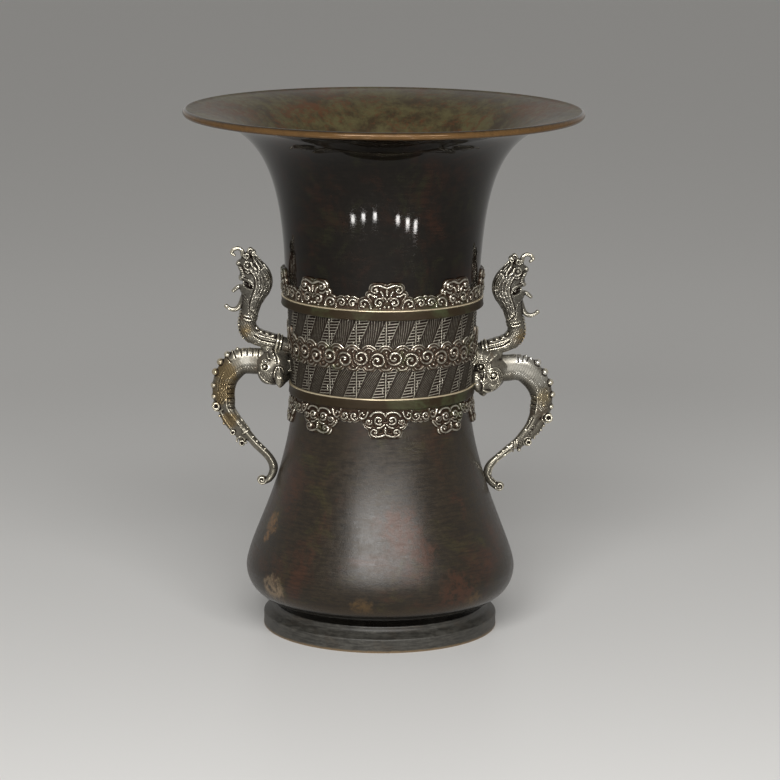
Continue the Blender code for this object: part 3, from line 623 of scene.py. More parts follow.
def line(*points, width=(STROKE_MM, STROKE_MM), crest=CREST_MM):
    """A rounded stroke that tapers between two half widths, as rows of (u, v, half width, crest)."""
    path = through(points)
    share = np.linspace(0.0, 1.0, len(path))
    half = width[0] + (width[1] - width[0]) * share
    return np.column_stack([path, half, np.full(len(path), crest)])


def volute(u, v, radius, start, turns=-1.25, width=STROKE_MM, crest=CREST_MM, hold=1.5):
    """A scroll wound in to its eye, clockwise where turns is negative; hold keeps it wide for longer."""
    share = np.linspace(0.0, 1.0, VOLUTE_POINTS)
    angle = math.radians(start) + 2 * math.pi * turns * share
    reach = (radius - width) * (1.0 - share ** hold)
    rows = [u + reach * np.cos(angle), v + reach * np.sin(angle)]
    return np.column_stack(rows + [width * (1.0 - VOLUTE_THINNING * share), crest + VOLUTE_RISE_MM * share])


def dot(u, v, radius, crest=CREST_MM):
    """A round bead, drawn as the shortest of strokes."""
    return np.array([(u, v, radius, crest), (u + DOT_RUN_MM, v, radius, crest)])


def raised(u, v, paths):
    """Height over the wall of strokes on a thin plate that follows them, and buried elsewhere."""
    height = np.full(u.shape, BURIED_MM)
    for path in paths:
        for start, end in zip(path, path[1:]):
            run = end[:2] - start[:2]
            length = max(float(run @ run), TINY)
            share = np.clip(((u - start[0]) * run[0] + (v - start[1]) * run[1]) / length, 0.0, 1.0)
            away = np.hypot(u - start[0] - share * run[0], v - start[1] - share * run[1])
            half = start[2] + share * (end[2] - start[2])
            crest = start[3] + share * (end[3] - start[3])
            inside = np.clip(1.0 - (away / half) ** 2, 0.0, 1.0)
            past = np.maximum(away - half, 0.0)
            tube = crest - TUBE_ROUND * half * (1.0 - np.sqrt(inside)) - TUBE_FALL * past
            plate = PLATE_MM - PLATE_FALL * np.maximum(away - half - PLATE_MARGIN_MM, 0.0)
            height = np.maximum(height, np.maximum(tube, plate))
    return height


def blurred(height):
    """The heights evened out with their neighbours a number of times."""
    for _ in range(CREST_ROUNDS):
        edged = np.pad(height, ((1, 1), (0, 0)), mode="edge")
        height = (edged[:-2] + 2 * height + edged[2:]) / 4
        edged = np.pad(height, ((0, 0), (1, 1)), mode="edge")
        height = (edged[:, :-2] + 2 * height + edged[:, 2:]) / 4
    return height


def crests_of(height, sharpness):
    """How much a height stands out of what is round it, as a share that is a half on a level stretch."""
    return np.clip(0.5 + 0.5 * sharpness * (height - blurred(height)), 0.0, 1.0)


def wall_frame(curve, heights):
    """Radius and outward direction of a turned wall at heights along it."""
    curve = curve[np.argsort(curve[:, 1])]
    radius = np.interp(heights, curve[:, 1], curve[:, 0])
    slope = np.gradient(curve[:, 0], curve[:, 1])
    slope = np.interp(heights, curve[:, 1], slope)
    length = np.hypot(1.0, slope)
    return radius, 1.0 / length, -slope / length


def relief_band(name, height_mm, azimuths, curve, levels, material, nodes, sharpness=RELIEF_SHARPNESS):
    """A band of relief on a turned wall, cut to where it stands out of the wall and closed at the back."""
    rows, columns = height_mm.shape
    radius, out, up = wall_frame(curve, levels)
    layers = []
    for lift in (MM * height_mm, np.full(height_mm.shape, MM * BACK_MM)):
        reach = radius[:, None] + lift * out[:, None]
        layers.append(np.stack([
            reach * np.cos(azimuths), reach * np.sin(azimuths), levels[:, None] + lift * up[:, None],
        ], axis=-1).reshape(-1, 3))
    count = rows * columns
    low = np.arange(count).reshape(rows, columns)
    corners = [low[:-1, :-1], low[:-1, 1:], low[1:, 1:], low[1:, :-1]]
    tallest = np.max([height_mm.ravel()[corner] for corner in corners], axis=0)
    kept = tallest > BURIED_MM + KEPT_MM
    quads = np.stack(corners, axis=-1)
    front = quads[kept]
    edge = np.pad(kept, 1)
    neighbours = (edge[:-2, 1:-1], edge[1:-1, 2:], edge[2:, 1:-1], edge[1:-1, :-2])
    walls = []
    for side, neighbour in enumerate(neighbours):
        open_side = quads[kept & ~neighbour]
        a, b = open_side[:, side], open_side[:, (side + 1) % 4]
        walls.append(np.stack([b, a, a + count, b + count], axis=1))
    faces = np.concatenate([front, front[:, ::-1] + count] + walls)
    points = np.concatenate(layers)
    crest = np.concatenate([crests_of(height_mm, sharpness).ravel(), np.zeros(count)])
    share_u = np.tile(np.linspace(0.0, 1.0, columns), rows)
    share_v = np.repeat(np.linspace(0.0, MAP_HEIGHT, rows), columns)
    map_front = np.column_stack([share_u, share_v])
    map_points = np.concatenate([map_front, map_front + np.array([0.0, MAP_BACK])])
    if levels[-1] < levels[0]:
        faces = faces[:, ::-1]
    used, packed = np.unique(faces, return_inverse=True)
    packed = packed.reshape(faces.shape)
    piece = new_piece(name, points[used], packed.tolist(), material, nodes, map_points[faces])
    mark_points(piece, "crest", crest[used])


# Cloud borders: one cusp, drawn to the right of its axis as far as the middle of the run between two cusps
CUSPS = 8
BORDER_WALL_ROWS = 200
UPPER_REACH_MM = 18.6
UPPER_HALF_MM = 26.3
UPPER_CUSP = (
    volute(4.9, 5.4, 4.1, 150.0),
    line((0.0, 6.2), (0.8, 8.0), (2.8, 8.8), width=(1.0, 0.9)),
    volute(7.6, 14.0, 3.7, 115.0),
    line((0.0, 15.2), (2.2, 16.0), (4.4, 16.9), (6.4, 17.0)),
    line((0.0, 10.4), (0.0, 12.0), (0.0, 13.4), width=(0.8, 1.1)),
    line((2.4, 10.0), (3.0, 11.6), (4.0, 12.8), width=(0.9, 0.7)),
    line((6.6, 9.6), (8.8, 9.8), (10.6, 11.0), (12.0, 10.8), (12.0, 9.2), width=(0.9, 1.1)),
    line((9.4, 3.0), (10.0, 6.0), (11.6, 8.0), width=(0.9, 0.9), crest=2.7),
    dot(1.3, 2.4, 1.3),
    dot(4.4, 1.2, 1.1, 2.7),
    line((10.4, 1.4), (10.8, 4.4), (12.6, 6.6), (15.0, 7.0), (17.0, 5.4), (16.8, 3.2), (15.0, 2.4),
         width=(1.0, 1.1)),
    dot(14.2, 4.2, 1.1),
    line((18.0, 1.0), (18.4, 3.4), (19.2, 6.0), width=(0.9, 0.9), crest=2.7),
    volute(22.5, 4.6, 3.7, 165.0),
    dot(26.3, 7.2, 1.2, 2.7),
    dot(26.3, 3.4, 1.2, 2.7),
    line((0.0, 0.5), (13.0, 0.5), (26.4, 0.5), width=(0.8, 0.8), crest=2.1),
)
LOWER_REACH_MM = 20.0
LOWER_HALF_MM = 24.0
LOWER_CUSP = (
    line((0.0, 4.6), (1.2, 2.8), (4.0, 1.9), (7.6, 2.4), (9.8, 4.6), width=(1.0, 1.0)),
    volute(4.3, 7.4, 3.9, 120.0),
    line((0.8, 10.4), (2.8, 12.0), (5.2, 12.6), width=(1.0, 0.8)),
    dot(0.0, 12.6, 1.3),
    line((0.0, 14.2), (0.0, 15.8), width=(0.9, 1.0)),
    volute(6.9, 15.6, 3.6, 115.0),
    line((0.0, 17.0), (2.0, 17.8), (4.0, 18.4), (6.0, 18.6)),
    volute(10.8, 8.4, 2.9, 200.0, width=0.95),
    line((9.6, 12.6), (11.4, 12.0), (13.2, 10.0), width=(1.0, 0.8), crest=2.7),
    line((11.6, 2.0), (12.8, 5.0), (14.8, 6.6), (16.8, 5.6), (16.8, 3.4), (15.2, 2.6), width=(1.0, 1.1)),
    dot(14.4, 4.0, 1.0),
    volute(20.6, 5.0, 3.7, 165.0),
    line((17.6, 1.2), (17.8, 3.4), (18.0, 6.2), width=(0.9, 0.9), crest=2.7),
    dot(24.0, 7.6, 1.2, 2.7),
    dot(24.0, 3.6, 1.2, 2.7),
    line((0.0, 0.5), (12.0, 0.5), (24.1, 0.5), width=(0.8, 0.8), crest=2.1),
)


def make_border(name, strokes, half_mm, reach_mm, curve, start_z, direction, node):
    """A closed border, as a front and a rear half that each hold whole cusps."""
    tile_columns = 2 * int(round(half_mm / GRID_MM))
    u = np.linspace(-half_mm, half_mm, tile_columns + 1)[:-1]
    v = np.arange(0.0, reach_mm, GRID_MM)
    tile = raised(*np.meshgrid(np.abs(u), v), strokes)
    heights = np.tile(np.roll(tile, tile_columns // 2, axis=1), (1, CUSPS // 2))
    heights = np.concatenate([heights, heights[:, :1]], axis=1)
    levels = start_z + direction * MM * v
    for half_name, first in HALVES:
        azimuths = first + np.linspace(0.0, math.pi, heights.shape[1])
        piece_name = f"{name}_{half_name}"
        relief_band(piece_name, heights, azimuths, curve, levels, CLOUD_BRONZE, [node])


# Cloud girdle round the collar, in two halves between the handles
GIRDLE_SCROLLS = 16
GIRDLE_END = math.radians(10.0)
GIRDLE_MIDDLE_RISE = 0.0083
GIRDLE_MIDDLE_Z = GIRDLE_LOW.z + GIRDLE_MIDDLE_RISE
GIRDLE_LOW_MM = -8.8
GIRDLE_HIGH_MM = 14.2
GIRDLE_MARGIN_MM = 6.0
GIRDLE_TIP_MM = 3.2
COLLAR_CURVE = np.array([
    (COLLAR_BOTTOM_RADIUS, COLLAR_LOW.z),
    (COLLAR_TOP_RADIUS, COLLAR_HIGH.z),
])


def girdle_strokes(length):
    """A running chain of scrolls with caps above and lobes below, and a pointed leaf at each handle."""
    strokes = []
    pitch = (length - 2 * GIRDLE_MARGIN_MM) / (GIRDLE_SCROLLS - 1)
    start = -length / 2 + GIRDLE_MARGIN_MM
    for index in range(GIRDLE_SCROLLS):
        u = start + pitch * index
        side = 1.0 if index % 2 else -1.0
        strokes.append(volute(u, -0.9 * side, 5.9, 180.0 - 5.0 * side, -1.5 * side, 1.3, 2.9, 2.2))
        if index == GIRDLE_SCROLLS - 1:
            continue
        between = u + pitch / 2
        link = ((-0.8, -5.2 * side), (0.0, -1.2 * side), (0.4, 2.6 * side))
        cap = ((-3.4, 5.2), (-2.0, 7.0), (0.6, 7.3), (2.6, 5.8))
        lobe = ((-3.2, -5.6), (-1.6, -7.2), (1.4, -7.2), (3.2, -5.6))
        for path, half, crest in ((link, 1.2, 2.3), (cap, 1.15, 2.5), (lobe, 1.15, 2.5)):
            strokes.append(line(*((between + x, y) for x, y in path), width=(half, half), crest=crest))
        strokes.append(dot(between + 0.1, 4.9, 1.3, 2.5))
        strokes.append(dot(between, -5.0, 1.3, 2.5))
    for side in (1.0, -1.0):
        tip = side * (length / 2 - GIRDLE_TIP_MM)
        strokes.append(line((tip - side * 4.4, 5.0), (tip - side * 1.6, 8.4), (tip, 12.6), width=(1.6, 0.6)))
        strokes.append(line((tip, 4.0), (tip + side * 0.6, 7.0), (tip + side * 0.2, 10.6), width=(1.3, 0.6)))
    return strokes


def make_girdle():
    sweep = math.pi - 2 * GIRDLE_END
    middle_radius = float(np.interp(GIRDLE_MIDDLE_Z, COLLAR_CURVE[:, 1], COLLAR_CURVE[:, 0]))
    length = sweep * middle_radius / MM
    u = np.linspace(-length / 2, length / 2, int(length / GRID_MM))
    v = np.arange(GIRDLE_LOW_MM, GIRDLE_HIGH_MM, GRID_MM)
    heights = raised(*np.meshgrid(u, v), girdle_strokes(length))
    levels = GIRDLE_MIDDLE_Z + MM * v
    for name, first in HALVES:
        azimuths = first + GIRDLE_END + np.linspace(0.0, sweep, len(u))
        relief_band(f"{name}_girdle", heights, azimuths, COLLAR_CURVE, levels, CLOUD_BRONZE,
                    [f"{name}_cloud_girdle"])


# Fret ground on the collar: leaning blocks of combed bars beside leaning blocks of fine slanting lines
FRET_UNITS = 20
FRET_LEAN = 0.42
FRET_STEP_MM = 0.34
FRET_RIDGE_MM = 0.6
FRET_GROUND_MM = 0.12
BAR_PITCH_MM = 2.0
HATCH_PITCH_MM = 1.4
FRET_RADIUS_MM = 63.4
FRET_SHARPNESS = 5.0
LOWER_FRET_TOP = 0.004
UPPER_FRET_BOTTOM = 0.012
WAVE_GAIN = 1.3
RIB_TOP = 1.5
COMB_SHARE = 0.22
BAR_LEAN = 0.10
HOOK_AT_MM = 2.1
HOOK_REACH_MM = 3.0
HOOK_EVERY = 3
CHANNEL_MM = 0.7
STEM_MM = 0.4
STEM_SHARE = 0.8
EDGE_MM = 0.35
EDGE_SHARE = 0.45
HATCH_LEAN = 0.30
HATCH_BOW = 0.02
HATCH_SHARE = 0.30


def waves(distance, pitch):
    """Rounded ridges a pitch apart."""
    return np.clip(WAVE_GAIN * np.cos(2 * math.pi * distance / pitch) - (WAVE_GAIN - 1.0), 0.0, 1.0)


def rib(distance, half):
    """A narrow flat-topped line."""
    return np.clip(RIB_TOP - np.abs(distance) / half, 0.0, 1.0)


def fret_height(u, v, tall, flip):
    """Heights of the fret over a register, with u in millimetres from the middle of a unit that repeats."""
    unit = 2 * math.pi * FRET_RADIUS_MM / FRET_UNITS
    across = (u + unit / 2) % unit - unit / 2
    rise = v - tall / 2
    leaned = (u - FRET_LEAN * rise + unit / 2) % unit - unit / 2
    comb_half = COMB_SHARE * unit
    level = rise - BAR_LEAN * across
    row = np.floor(level / (2 * BAR_PITCH_MM))
    hooked = ((row + np.sign(across)) % HOOK_EVERY == 0) & (np.abs(across) < HOOK_REACH_MM)
    hook = np.where(hooked, waves(np.abs(across) - HOOK_AT_MM, HOOK_REACH_MM), 0.0)
    bars = np.maximum(waves(level, BAR_PITCH_MM), hook)
    comb = np.maximum(np.where(np.abs(across) < CHANNEL_MM, 0.0, bars), STEM_SHARE * rib(across, STEM_MM))
    middle = (u - FRET_LEAN * rise) % unit - unit / 2
    bowed = middle - HATCH_LEAN * flip * rise - HATCH_BOW * middle * rise
    hatched = HATCH_SHARE * waves(bowed, HATCH_PITCH_MM)
    blocks = np.where(np.abs(leaned) < comb_half, comb, hatched)
    edge = EDGE_SHARE * rib(np.abs(leaned) - comb_half, EDGE_MM)
    return FRET_GROUND_MM + FRET_RIDGE_MM * np.maximum(blocks, edge)


def make_fret():
    registers = (
        ("lower", LOWER_FILLET_HIGH.z, GIRDLE_LOW.z + LOWER_FRET_TOP, 1.0),
        ("upper", GIRDLE_LOW.z + UPPER_FRET_BOTTOM, UPPER_FILLET_LOW.z, -1.0),
    )
    length = math.pi * FRET_RADIUS_MM
    u = np.linspace(0.0, length, int(length / FRET_STEP_MM))
    for name, low, high, flip in registers:
        v = np.arange(0.0, (high - low) / MM + GRID_MM, GRID_MM)
        levels = np.minimum(low + MM * v, high)
        heights = fret_height(*np.meshgrid(u, v), v[-1], flip)
        for half_name, first in HALVES:
            azimuths = first + np.linspace(0.0, math.pi, len(u))
            piece_name = f"fret_{name}_{half_name}"
            relief_band(piece_name, heights, azimuths, COLLAR_CURVE, levels, FRET_BRONZE, [],
                        FRET_SHARPNESS)


make_border("upper_border", UPPER_CUSP, UPPER_HALF_MM, UPPER_REACH_MM, neck_outer(BORDER_WALL_ROWS),
            UPPER_FILLET_HIGH.z, 1.0, "upper_cloud_border")
make_border("lower_border", LOWER_CUSP, LOWER_HALF_MM, LOWER_REACH_MM, belly_outer(BORDER_WALL_ROWS),
            LOWER_FILLET_LOW.z, -1.0, "lower_cloud_border")
make_girdle()
make_fret()

# Handles, modelled like clay in millimetres for the right side: x out, y away from the camera, z up
CLAY_STEP = 0.36
FAR_MM = 3.0
WALL_CLEAR_MM = 61.6
NEAR_SIDE = -1
FAR_SIDE = 1
BOTH_SIDES = (NEAR_SIDE, FAR_SIDE)
BLOCK_BLEND = 0.1
SCALE_FADE = 2.5
RING_POINTS = 15
PIT_RUN = 0.1
TINY_SLOPE = 1e-6


class Clay:
    """A lump built from tubes, balls and boxes, kept as distances to its surface on a grid of points."""

    def __init__(self, low, high, step=CLAY_STEP):
        self.low = np.array(low, float)
        self.step = step
        self.shape = tuple(int(math.ceil(span / step)) + 1 for span in np.subtract(high, low))
        self.field = np.full(self.shape, FAR_MM)
        self.base = self.field

    def window(self, low, high):
        """The grid between two corners: its slices and its coordinates, ready to spread over each other."""
        first = np.maximum(np.floor((np.array(low) - self.low) / self.step).astype(int), 0)
        last = np.minimum(np.ceil((np.array(high) - self.low) / self.step).astype(int) + 1, self.shape)
        slices = tuple(slice(int(a), int(max(b, a))) for a, b in zip(first, last))
        axes = [self.low[axis] + self.step * np.arange(part.start, part.stop)
                for axis, part in enumerate(slices)]
        return slices, axes[0][:, None, None], axes[1][None, :, None], axes[2][None, None, :]

    def merge(self, own, slices, blend, cut):
        """Joins a distance field to part of the lump, or takes it away, with a rounded seam."""
        here = -self.field[slices] if cut else self.field[slices]
        share = np.clip(0.5 + 0.5 * (own - here) / blend, 0.0, 1.0)
        joined = own + (here - own) * share - blend * share * (1.0 - share)
        self.field[slices] = -joined if cut else joined

    def tube(self, points, blend=0.5, cut=False, flat=1.0, samples=5):
        """A tube through rows of (x, y, z, radius); flat above 1 makes it thinner across the handle."""
        path = through(points, samples)
        widest = path[:, 3].max() + FAR_MM
        outer, _, _, _ = self.window(path[:, :3].min(axis=0) - widest, path[:, :3].max(axis=0) + widest)
        own = np.full([part.stop - part.start for part in outer], FAR_MM)
        for start, end in zip(path, path[1:]):
            reach = max(start[3], end[3]) + FAR_MM
            low = np.minimum(start, end)[:3] - reach
            high = np.maximum(start, end)[:3] + reach
            slices, x, y, z = self.window(low, high)
            local = tuple(slice(part.start - whole.start, part.stop - whole.start)
                          for part, whole in zip(slices, outer))
            run = end[:3] - start[:3]
            length = max(float(run @ run), TINY)
            along = ((x - start[0]) * run[0] + (y - start[1]) * run[1] + (z - start[2]) * run[2]) / length
            along = np.clip(along, 0.0, 1.0)
            away = np.sqrt(
                (x - start[0] - along * run[0]) ** 2
                + (flat * (y - start[1] - along * run[1])) ** 2
                + (z - start[2] - along * run[2]) ** 2
            )
            own[local] = np.minimum(own[local], away - start[3] - along * (end[3] - start[3]))
        self.merge(own, outer, blend, cut)

    def spine(self, points, blend=0.5, cut=False, flat=1.0):
        """A tube in the middle plane of the handle, through rows of (x, z, radius)."""
        self.tube([(x, 0.0, z, radius) for x, z, radius in points], blend, cut, flat)

    def ball(self, centre, radii, lean=0.0, blend=0.5, cut=False):
        """An ellipsoid, leaned in the plane of the handle by an angle in degrees."""
        radii = np.broadcast_to(np.array(radii, float), 3)
        reach = radii.max() + FAR_MM
        slices, x, y, z = self.window(np.subtract(centre, reach), np.add(centre, reach))
        cosine, sine = math.cos(math.radians(lean)), math.sin(math.radians(lean))
        across = cosine * (x - centre[0]) + sine * (z - centre[2])
        upward = cosine * (z - centre[2]) - sine * (x - centre[0])
        parts = list(zip((across, y - centre[1], upward), radii))
        scaled = np.sqrt(sum((part / radius) ** 2 for part, radius in parts))
        steep = np.sqrt(sum((part / radius ** 2) ** 2 for part, radius in parts))
        own = np.minimum(scaled * (scaled - 1.0) / np.maximum(steep, TINY_SLOPE), FAR_MM)
        self.merge(own, slices, blend, cut)

    def block(self, low, high, edge=0.6):
        """A box with rounded edges."""
        low, high = np.array(low, float), np.array(high, float)
        slices, *axes = self.window(low - FAR_MM, high + FAR_MM)
        past = [np.abs(values - middle) - half for values, middle, half in
                zip(axes, (low + high) / 2, (high - low) / 2 - edge)]
        outside = np.sqrt(sum(np.maximum(part, 0.0) ** 2 for part in past))
        inside = np.minimum(np.maximum(np.maximum(past[0], past[1]), past[2]), 0.0)
        self.merge(outside + inside - edge, slices, BLOCK_BLEND, False)

    def settle(self):
        """Keeps the lump as it is now as the ground that strokes lie on."""
        self.base = self.field.copy()

    def draped(self, points, side, lift=0.0, samples=5):
        """Rows of (x, z, radius) laid on one face of the settled lump, as rows of (x, y, z, radius)."""
        path = through(points, samples)
        column = np.rint((path[:, 0] - self.low[0]) / self.step).astype(int).clip(0, self.shape[0] - 1)
        level = np.rint((path[:, 1] - self.low[2]) / self.step).astype(int).clip(0, self.shape[2] - 1)
        rows = self.base[column, :, level]
        rows = rows[:, ::-1] if side > 0 else rows
        solid = rows < 0
        first = np.where(solid.any(axis=1), solid.argmax(axis=1), self.shape[1] // 2)
        first = self.shape[1] - 1 - first if side > 0 else first
        y = self.low[1] + self.step * first + side * lift
        return np.column_stack([path[:, 0], y, path[:, 1], path[:, 2]])

    def stroke(self, points, sides=BOTH_SIDES, cut=False, lift=0.0, blend=0.35):
        """A raised line, or a groove, drawn on faces of the lump."""
        for side in sides:
            self.tube(self.draped(points, side, lift), blend, cut, samples=1)

    def ring(self, centre, radius, thickness, sides=BOTH_SIDES, start=0.0, end=360.0):
        """A round stroke, or an arc of one, about a point of the face."""
        path = arc(centre, radius, start, end, RING_POINTS)
        self.stroke(thick(path, thickness), sides)

    def pit(self, place, radius, sides=BOTH_SIDES):
        """A round hollow, such as the socket of an eye."""
        self.stroke(thick((place, (place[0] + PIT_RUN, place[1])), radius), sides, True)

    def bead(self, place, radius, sides=BOTH_SIDES, lift=0.0):
        for side in sides:
            x, y, z, _ = self.draped(thick((place, place), radius), side, lift)[0]
            self.ball((x, y, z), radius)

    def scales(self, low, high, pitch, depth, sides=BOTH_SIDES):
        """Small bumps in staggered rows over part of the lump's faces."""
        slices, x, y, z = self.window(low, high)
        bumps = np.cos(2 * math.pi * (x + 0.5 * z) / pitch) * np.cos(2 * math.pi * z / pitch)
        fade = 1.0
        for axis, values in ((0, x), (2, z)):
            middle, half = (low[axis] + high[axis]) / 2, (high[axis] - low[axis]) / 2
            fade = fade * np.clip(SCALE_FADE * (1.0 - np.abs(values - middle) / half), 0.0, 1.0)
        for side in sides:
            self.field[slices] -= depth * bumps * fade * (y * side > 0)

    def clear_wall(self):
        """Trims the lump where it would reach through the wall of the vase."""
        _, x, y, z = self.window(self.low, self.low + self.step * np.array(self.shape))
        self.field = np.maximum(self.field, WALL_CLEAR_MM - np.hypot(x, y) + 0.0 * z)

    def skin(self):
        """Points and quads of the surface, one point for each cube that the surface passes through."""
        solid = self.field < 0
        cubes = np.array(self.shape)
        strides = np.array([cubes[1] * cubes[2], cubes[2], 1])
        owners, places, quads = [], [], []
        for axis in range(3):
            after = np.roll(np.arange(3), -axis)[1:]
            near = [slice(None)] * 3
            far = [slice(None)] * 3
            near[axis] = slice(0, -1)
            far[axis] = slice(1, None)
            crossed = np.argwhere(solid[tuple(near)] != solid[tuple(far)])
            here = self.field[tuple(crossed.T)]
            beyond = crossed.copy()
            beyond[:, axis] += 1
            there = self.field[tuple(beyond.T)]
            place = crossed.astype(float)
            place[:, axis] += here / (here - there)
            number = crossed @ strides
            ring = [number, number - strides[after[0]], number - strides[after[0]] - strides[after[1]],
                    number - strides[after[1]]]
            for owner in ring:
                owners.append(owner)
                places.append(place)
            quad = np.stack(ring, axis=1)
            quads.append(np.where((here < 0)[:, None], quad, quad[:, ::-1]))
        owners = np.concatenate(owners)
        places = np.concatenate(places)
        used, index = np.unique(owners, return_inverse=True)
        counts = np.bincount(index)
        points = np.stack([np.bincount(index, places[:, axis]) / counts for axis in range(3)], axis=1)
        faces = np.searchsorted(used, np.concatenate(quads))
        return self.low + self.step * points, faces


SKIN_ROUNDS = 12
SKIN_SHARPNESS = 1.9
CELL_EDGE = 0.1


def thick(path, radius):
    """A path of (x, z) with one radius all along, as rows of (x, z, radius)."""
    return [(x, z, radius) for x, z in path]


def crests_on(points, faces):
    """How much each point of a skin stands out of what is round it: a half on the level."""
    links = np.concatenate([faces[:, [0, 1]], faces[:, [1, 2]], faces[:, [2, 3]], faces[:, [3, 0]]])
    links = np.concatenate([links, links[:, ::-1]])
    counts = np.bincount(links[:, 0], minlength=len(points))
    even = points
    for _ in range(SKIN_ROUNDS):
        even = np.stack([
            np.bincount(links[:, 0], even[links[:, 1], axis], len(points)) / counts for axis in range(3)
        ], axis=1)
    corners = [points[faces[:, corner]] for corner in range(4)]
    face_normals = np.cross(corners[2] - corners[0], corners[3] - corners[1])
    normals = np.zeros_like(points)
    for corner in range(4):
        np.add.at(normals, faces[:, corner], face_normals)
    normals /= np.maximum(np.linalg.norm(normals, axis=1), TINY)[:, None]
    return np.clip(0.5 + SKIN_SHARPNESS * ((points - even) * normals).sum(axis=1), 0.0, 1.0)


def quad_cells(count):
    """A map that gives every quad a small square of its own."""
    side = int(math.ceil(math.sqrt(count)))
    row, column = np.divmod(np.arange(count), side)
    low, high = CELL_EDGE, 1.0 - CELL_EDGE
    corners = np.array([(low, low), (high, low), (high, high), (low, high)])
    return (np.stack([column, row], axis=1)[:, None, :] + corners[None]) / side


def cast(clay, side, name, node, lift=0.0):
    """The lump as a bronze piece on one side of the vase: on the left it is turned half round the axis."""
    points, faces = clay.skin()
    turn = 1.0 if side == "right" else -1.0
    placed = MM * (points * np.array([turn, turn, 1.0]) + np.array([0.0, 0.0, lift]))
    mapped = quad_cells(len(faces))
    nodes = [f"{side}_{node}"]
    piece = new_piece(f"{side}_{name}", placed, faces.tolist(), HANDLE_BRONZE, nodes, mapped)
    mark_points(piece, "crest", crests_on(points, faces))


def spread(first, last, count):
    """Paths evenly spaced from one path to another of as many points."""
    first, last = np.array(first, float), np.array(last, float)
    return [first + share * (last - first) for share in np.linspace(0.0, 1.0, count)]


def drawn(clay, paths, radius, cut=False, lift=0.0):
    """Lines of one thickness on both faces of a lump."""
    for path in paths:
        clay.stroke(thick(path, radius), cut=cut, lift=lift)


COMB_SAMPLES = 4
COMB_STAGGER = 3
COMB_THINNEST = 0.02
COMB_LIFT = 0.05
CURL_POINTS = 20
CURL_CLOSE = 0.7
CURL_BLEND = 0.2


def combed(clay, paths, radius):
    """Lines on both faces that swell out of the lump and sink into it again, with staggered starts."""
    for index, path in enumerate(paths):
        curve = through(path, COMB_SAMPLES)[index % COMB_STAGGER:]
        share = np.linspace(0.0, 1.0, len(curve))
        swell = radius * np.sqrt(np.clip(1.0 - (2.0 * share - 1.0) ** 2, COMB_THINNEST, 1.0))
        clay.stroke(np.column_stack([curve, swell]).tolist(), lift=COMB_LIFT)


def hoop(clay, centre, depth, reach, angle, thickness):
    """A raised line round a point, at a depth from the middle plane of the handle."""
    level = np.full(len(angle), depth)
    rows = [centre[0] + reach * np.cos(angle), level, centre[1] + reach * np.sin(angle)]
    clay.tube(np.column_stack(rows + [np.full(len(angle), thickness)]), CURL_BLEND, samples=1)


def curl(clay, centre, depth, radius, thickness, start, turns):
    """A raised spiral on both faces, wound in to its eye, at a depth from the middle of the handle."""
    share = np.linspace(0.0, 1.0, CURL_POINTS)
    angle = math.radians(start) + 2 * math.pi * turns * share
    reach = radius * (1.0 - CURL_CLOSE * share)
    for side in BOTH_SIDES:
        hoop(clay, centre, side * depth, reach, angle, thickness)


